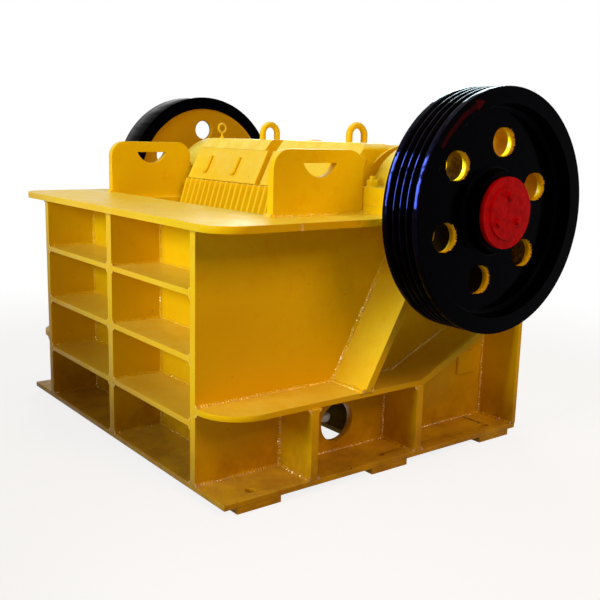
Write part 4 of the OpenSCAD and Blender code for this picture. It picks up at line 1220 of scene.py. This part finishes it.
def hang_lamp(name, place, target, size, level, tint=(1, 1, 1)):
    """A soft lamp at place, which lights what it faces at target to that level."""
    reach = Vector(target) - Vector(place)
    watts = level * math.pi ** 2 * reach.length_squared
    soft_lamp(name, place, reach.to_track_quat("-Z", "Y").to_matrix(), size, watts, tint)


FRONT_LAMP_AT = Vector((0.3, -7.2, 3.2))
WARM_YARD = (1.0, 0.57, 0.19)
PALE_GREEN = (0.78, 1.0, 0.88)
hang_lamp("front_lamp", place=FRONT_LAMP_AT, target=(0, -0.8, 0.7), size=(2.8, 2.4), level=0.78)
hang_lamp("side_lamp", place=(6.2, -0.2, 5.2), target=(0.9, 0.1, 0.6), size=(3.0, 3.0), level=0.40,
          tint=WARM_YARD)
hang_lamp("deck_lamp", place=(-0.5, 0.3, 6.5), target=(0, 0, 1.0), size=(3.5, 3.5), level=0.25,
          tint=PALE_GREEN)
hang_lamp("back_lamp", place=(-6.0, 4.6, 2.6), target=(0, 0, 1.0), size=(3.0, 2.0), level=0.30)

# %% [markdown]
# ### A card in front of the lamp
# The machine's low left corner stood in the shade of something in the yard, and the shade runs
# slantwise down the front. A photographer gets such a shade with a card between the lamp and
# the subject. Its edge is laid out on the machine first, as the line where the shade is half
# deep, and then drawn back towards the lamp to where the card stands. The closer the card is
# to the lamp, the softer its edge. The card only throws shade: no camera or mirror sees it.

# %% Card that shades the low left corner
CARD_Y = FRONT_Y - 1.6
SHADE_LINE = ((-3.6, 2.42), (2.6, -1.01))
FAR_BELOW = -1.0


def drawn_back(x, z):
    """The point of the card whose shade falls on the machine's front at x and z."""
    on_front = Vector((x, FRONT_Y, z))
    share = (CARD_Y - FRONT_LAMP_AT.y) / (FRONT_Y - FRONT_LAMP_AT.y)
    return FRONT_LAMP_AT + (on_front - FRONT_LAMP_AT) * share


def stand_card():
    """A triangle below the shade line, which only throws shade."""
    mesh = bmesh.new()
    corners = [*SHADE_LINE, (SHADE_LINE[0][0], FAR_BELOW)]
    mesh.faces.new([mesh.verts.new(drawn_back(x, z)) for x, z in corners])
    card = object_from(mesh, "card")
    card.visible_camera = False
    card.visible_glossy = False
    card.visible_diffuse = False
    card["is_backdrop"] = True
    print("card stands at y", round(CARD_Y, 2))


stand_card()

# %% [markdown]
# ### Blue windows in the pulley's rim
# Black gloss shows nothing of its own: what the eye reads on the pulley is the blue sky that
# its rim mirrors, as two bright patches with a dark bar between them, and a paler one on top.
# A curved mirror shows a lamp to the camera from one place only. The law of reflection gives
# that place for any turn round the rim, so each lamp is stretched between the places of two
# turns. They light the pulley alone, as if cards shaded the rest from them.

# %% Lamps that the rim mirrors
WINDOW_AWAY = 8.0
SKY_BLUE = (0.15, 0.23, 1.0)
PALE_SKY = (0.70, 0.92, 1.0)
rim_radius = (pulley[1].z - pulley[0].z) / 2
pulley_only = bpy.data.collections.new("pulley_only")
pulley_only.objects.link(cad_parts["pulley"])


def mirrored_place(turn):
    """Where the camera sees to, by way of the rim at that turn up from its front."""
    outward = Vector((0, -math.cos(turn), math.sin(turn)))
    point = AXIS + RIGHT * (pulley[0].x + pulley[1].x) / 2 + outward * rim_radius
    sight = (CAMERA_AT - point).normalized()
    return point + (2 * sight.dot(outward) * outward - sight) * WINDOW_AWAY


def hang_window(name, low_turn, high_turn, width, glow, tint):
    """A lamp as bright as glow that the rim mirrors between two turns, in degrees."""
    low, high = mirrored_place(math.radians(low_turn)), mirrored_place(math.radians(high_turn))
    middle = (low + high) / 2
    back = (middle - AXIS - RIGHT * pulley[1].x).normalized()
    up = (high - low - back * (high - low).dot(back)).normalized()
    height = (high - low).length
    aim = Matrix((up.cross(back), up, back)).transposed()
    lamp = soft_lamp(name, middle, aim, (width, height), glow * math.pi * width * height, tint)
    lamp.light_linking.receiver_collection = pulley_only


hang_window("low_window", low_turn=4, high_turn=18.2, width=3.2, glow=700, tint=SKY_BLUE)
hang_window("high_window", low_turn=21.4, high_turn=27.2, width=3.2, glow=600, tint=SKY_BLUE)
hang_window("top_window", low_turn=66, high_turn=80, width=2.4, glow=12.0, tint=PALE_SKY)

# %% [markdown]
# ## Check the size
# Paint, beads and nuts must not make the machine bigger than its construction model.

# %% Sizes
visual_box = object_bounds()
growth = max(max(visual_box[1] - cad_box[1]), max(cad_box[0] - visual_box[0]))
print("grown by at most", round(growth, 4), "m")
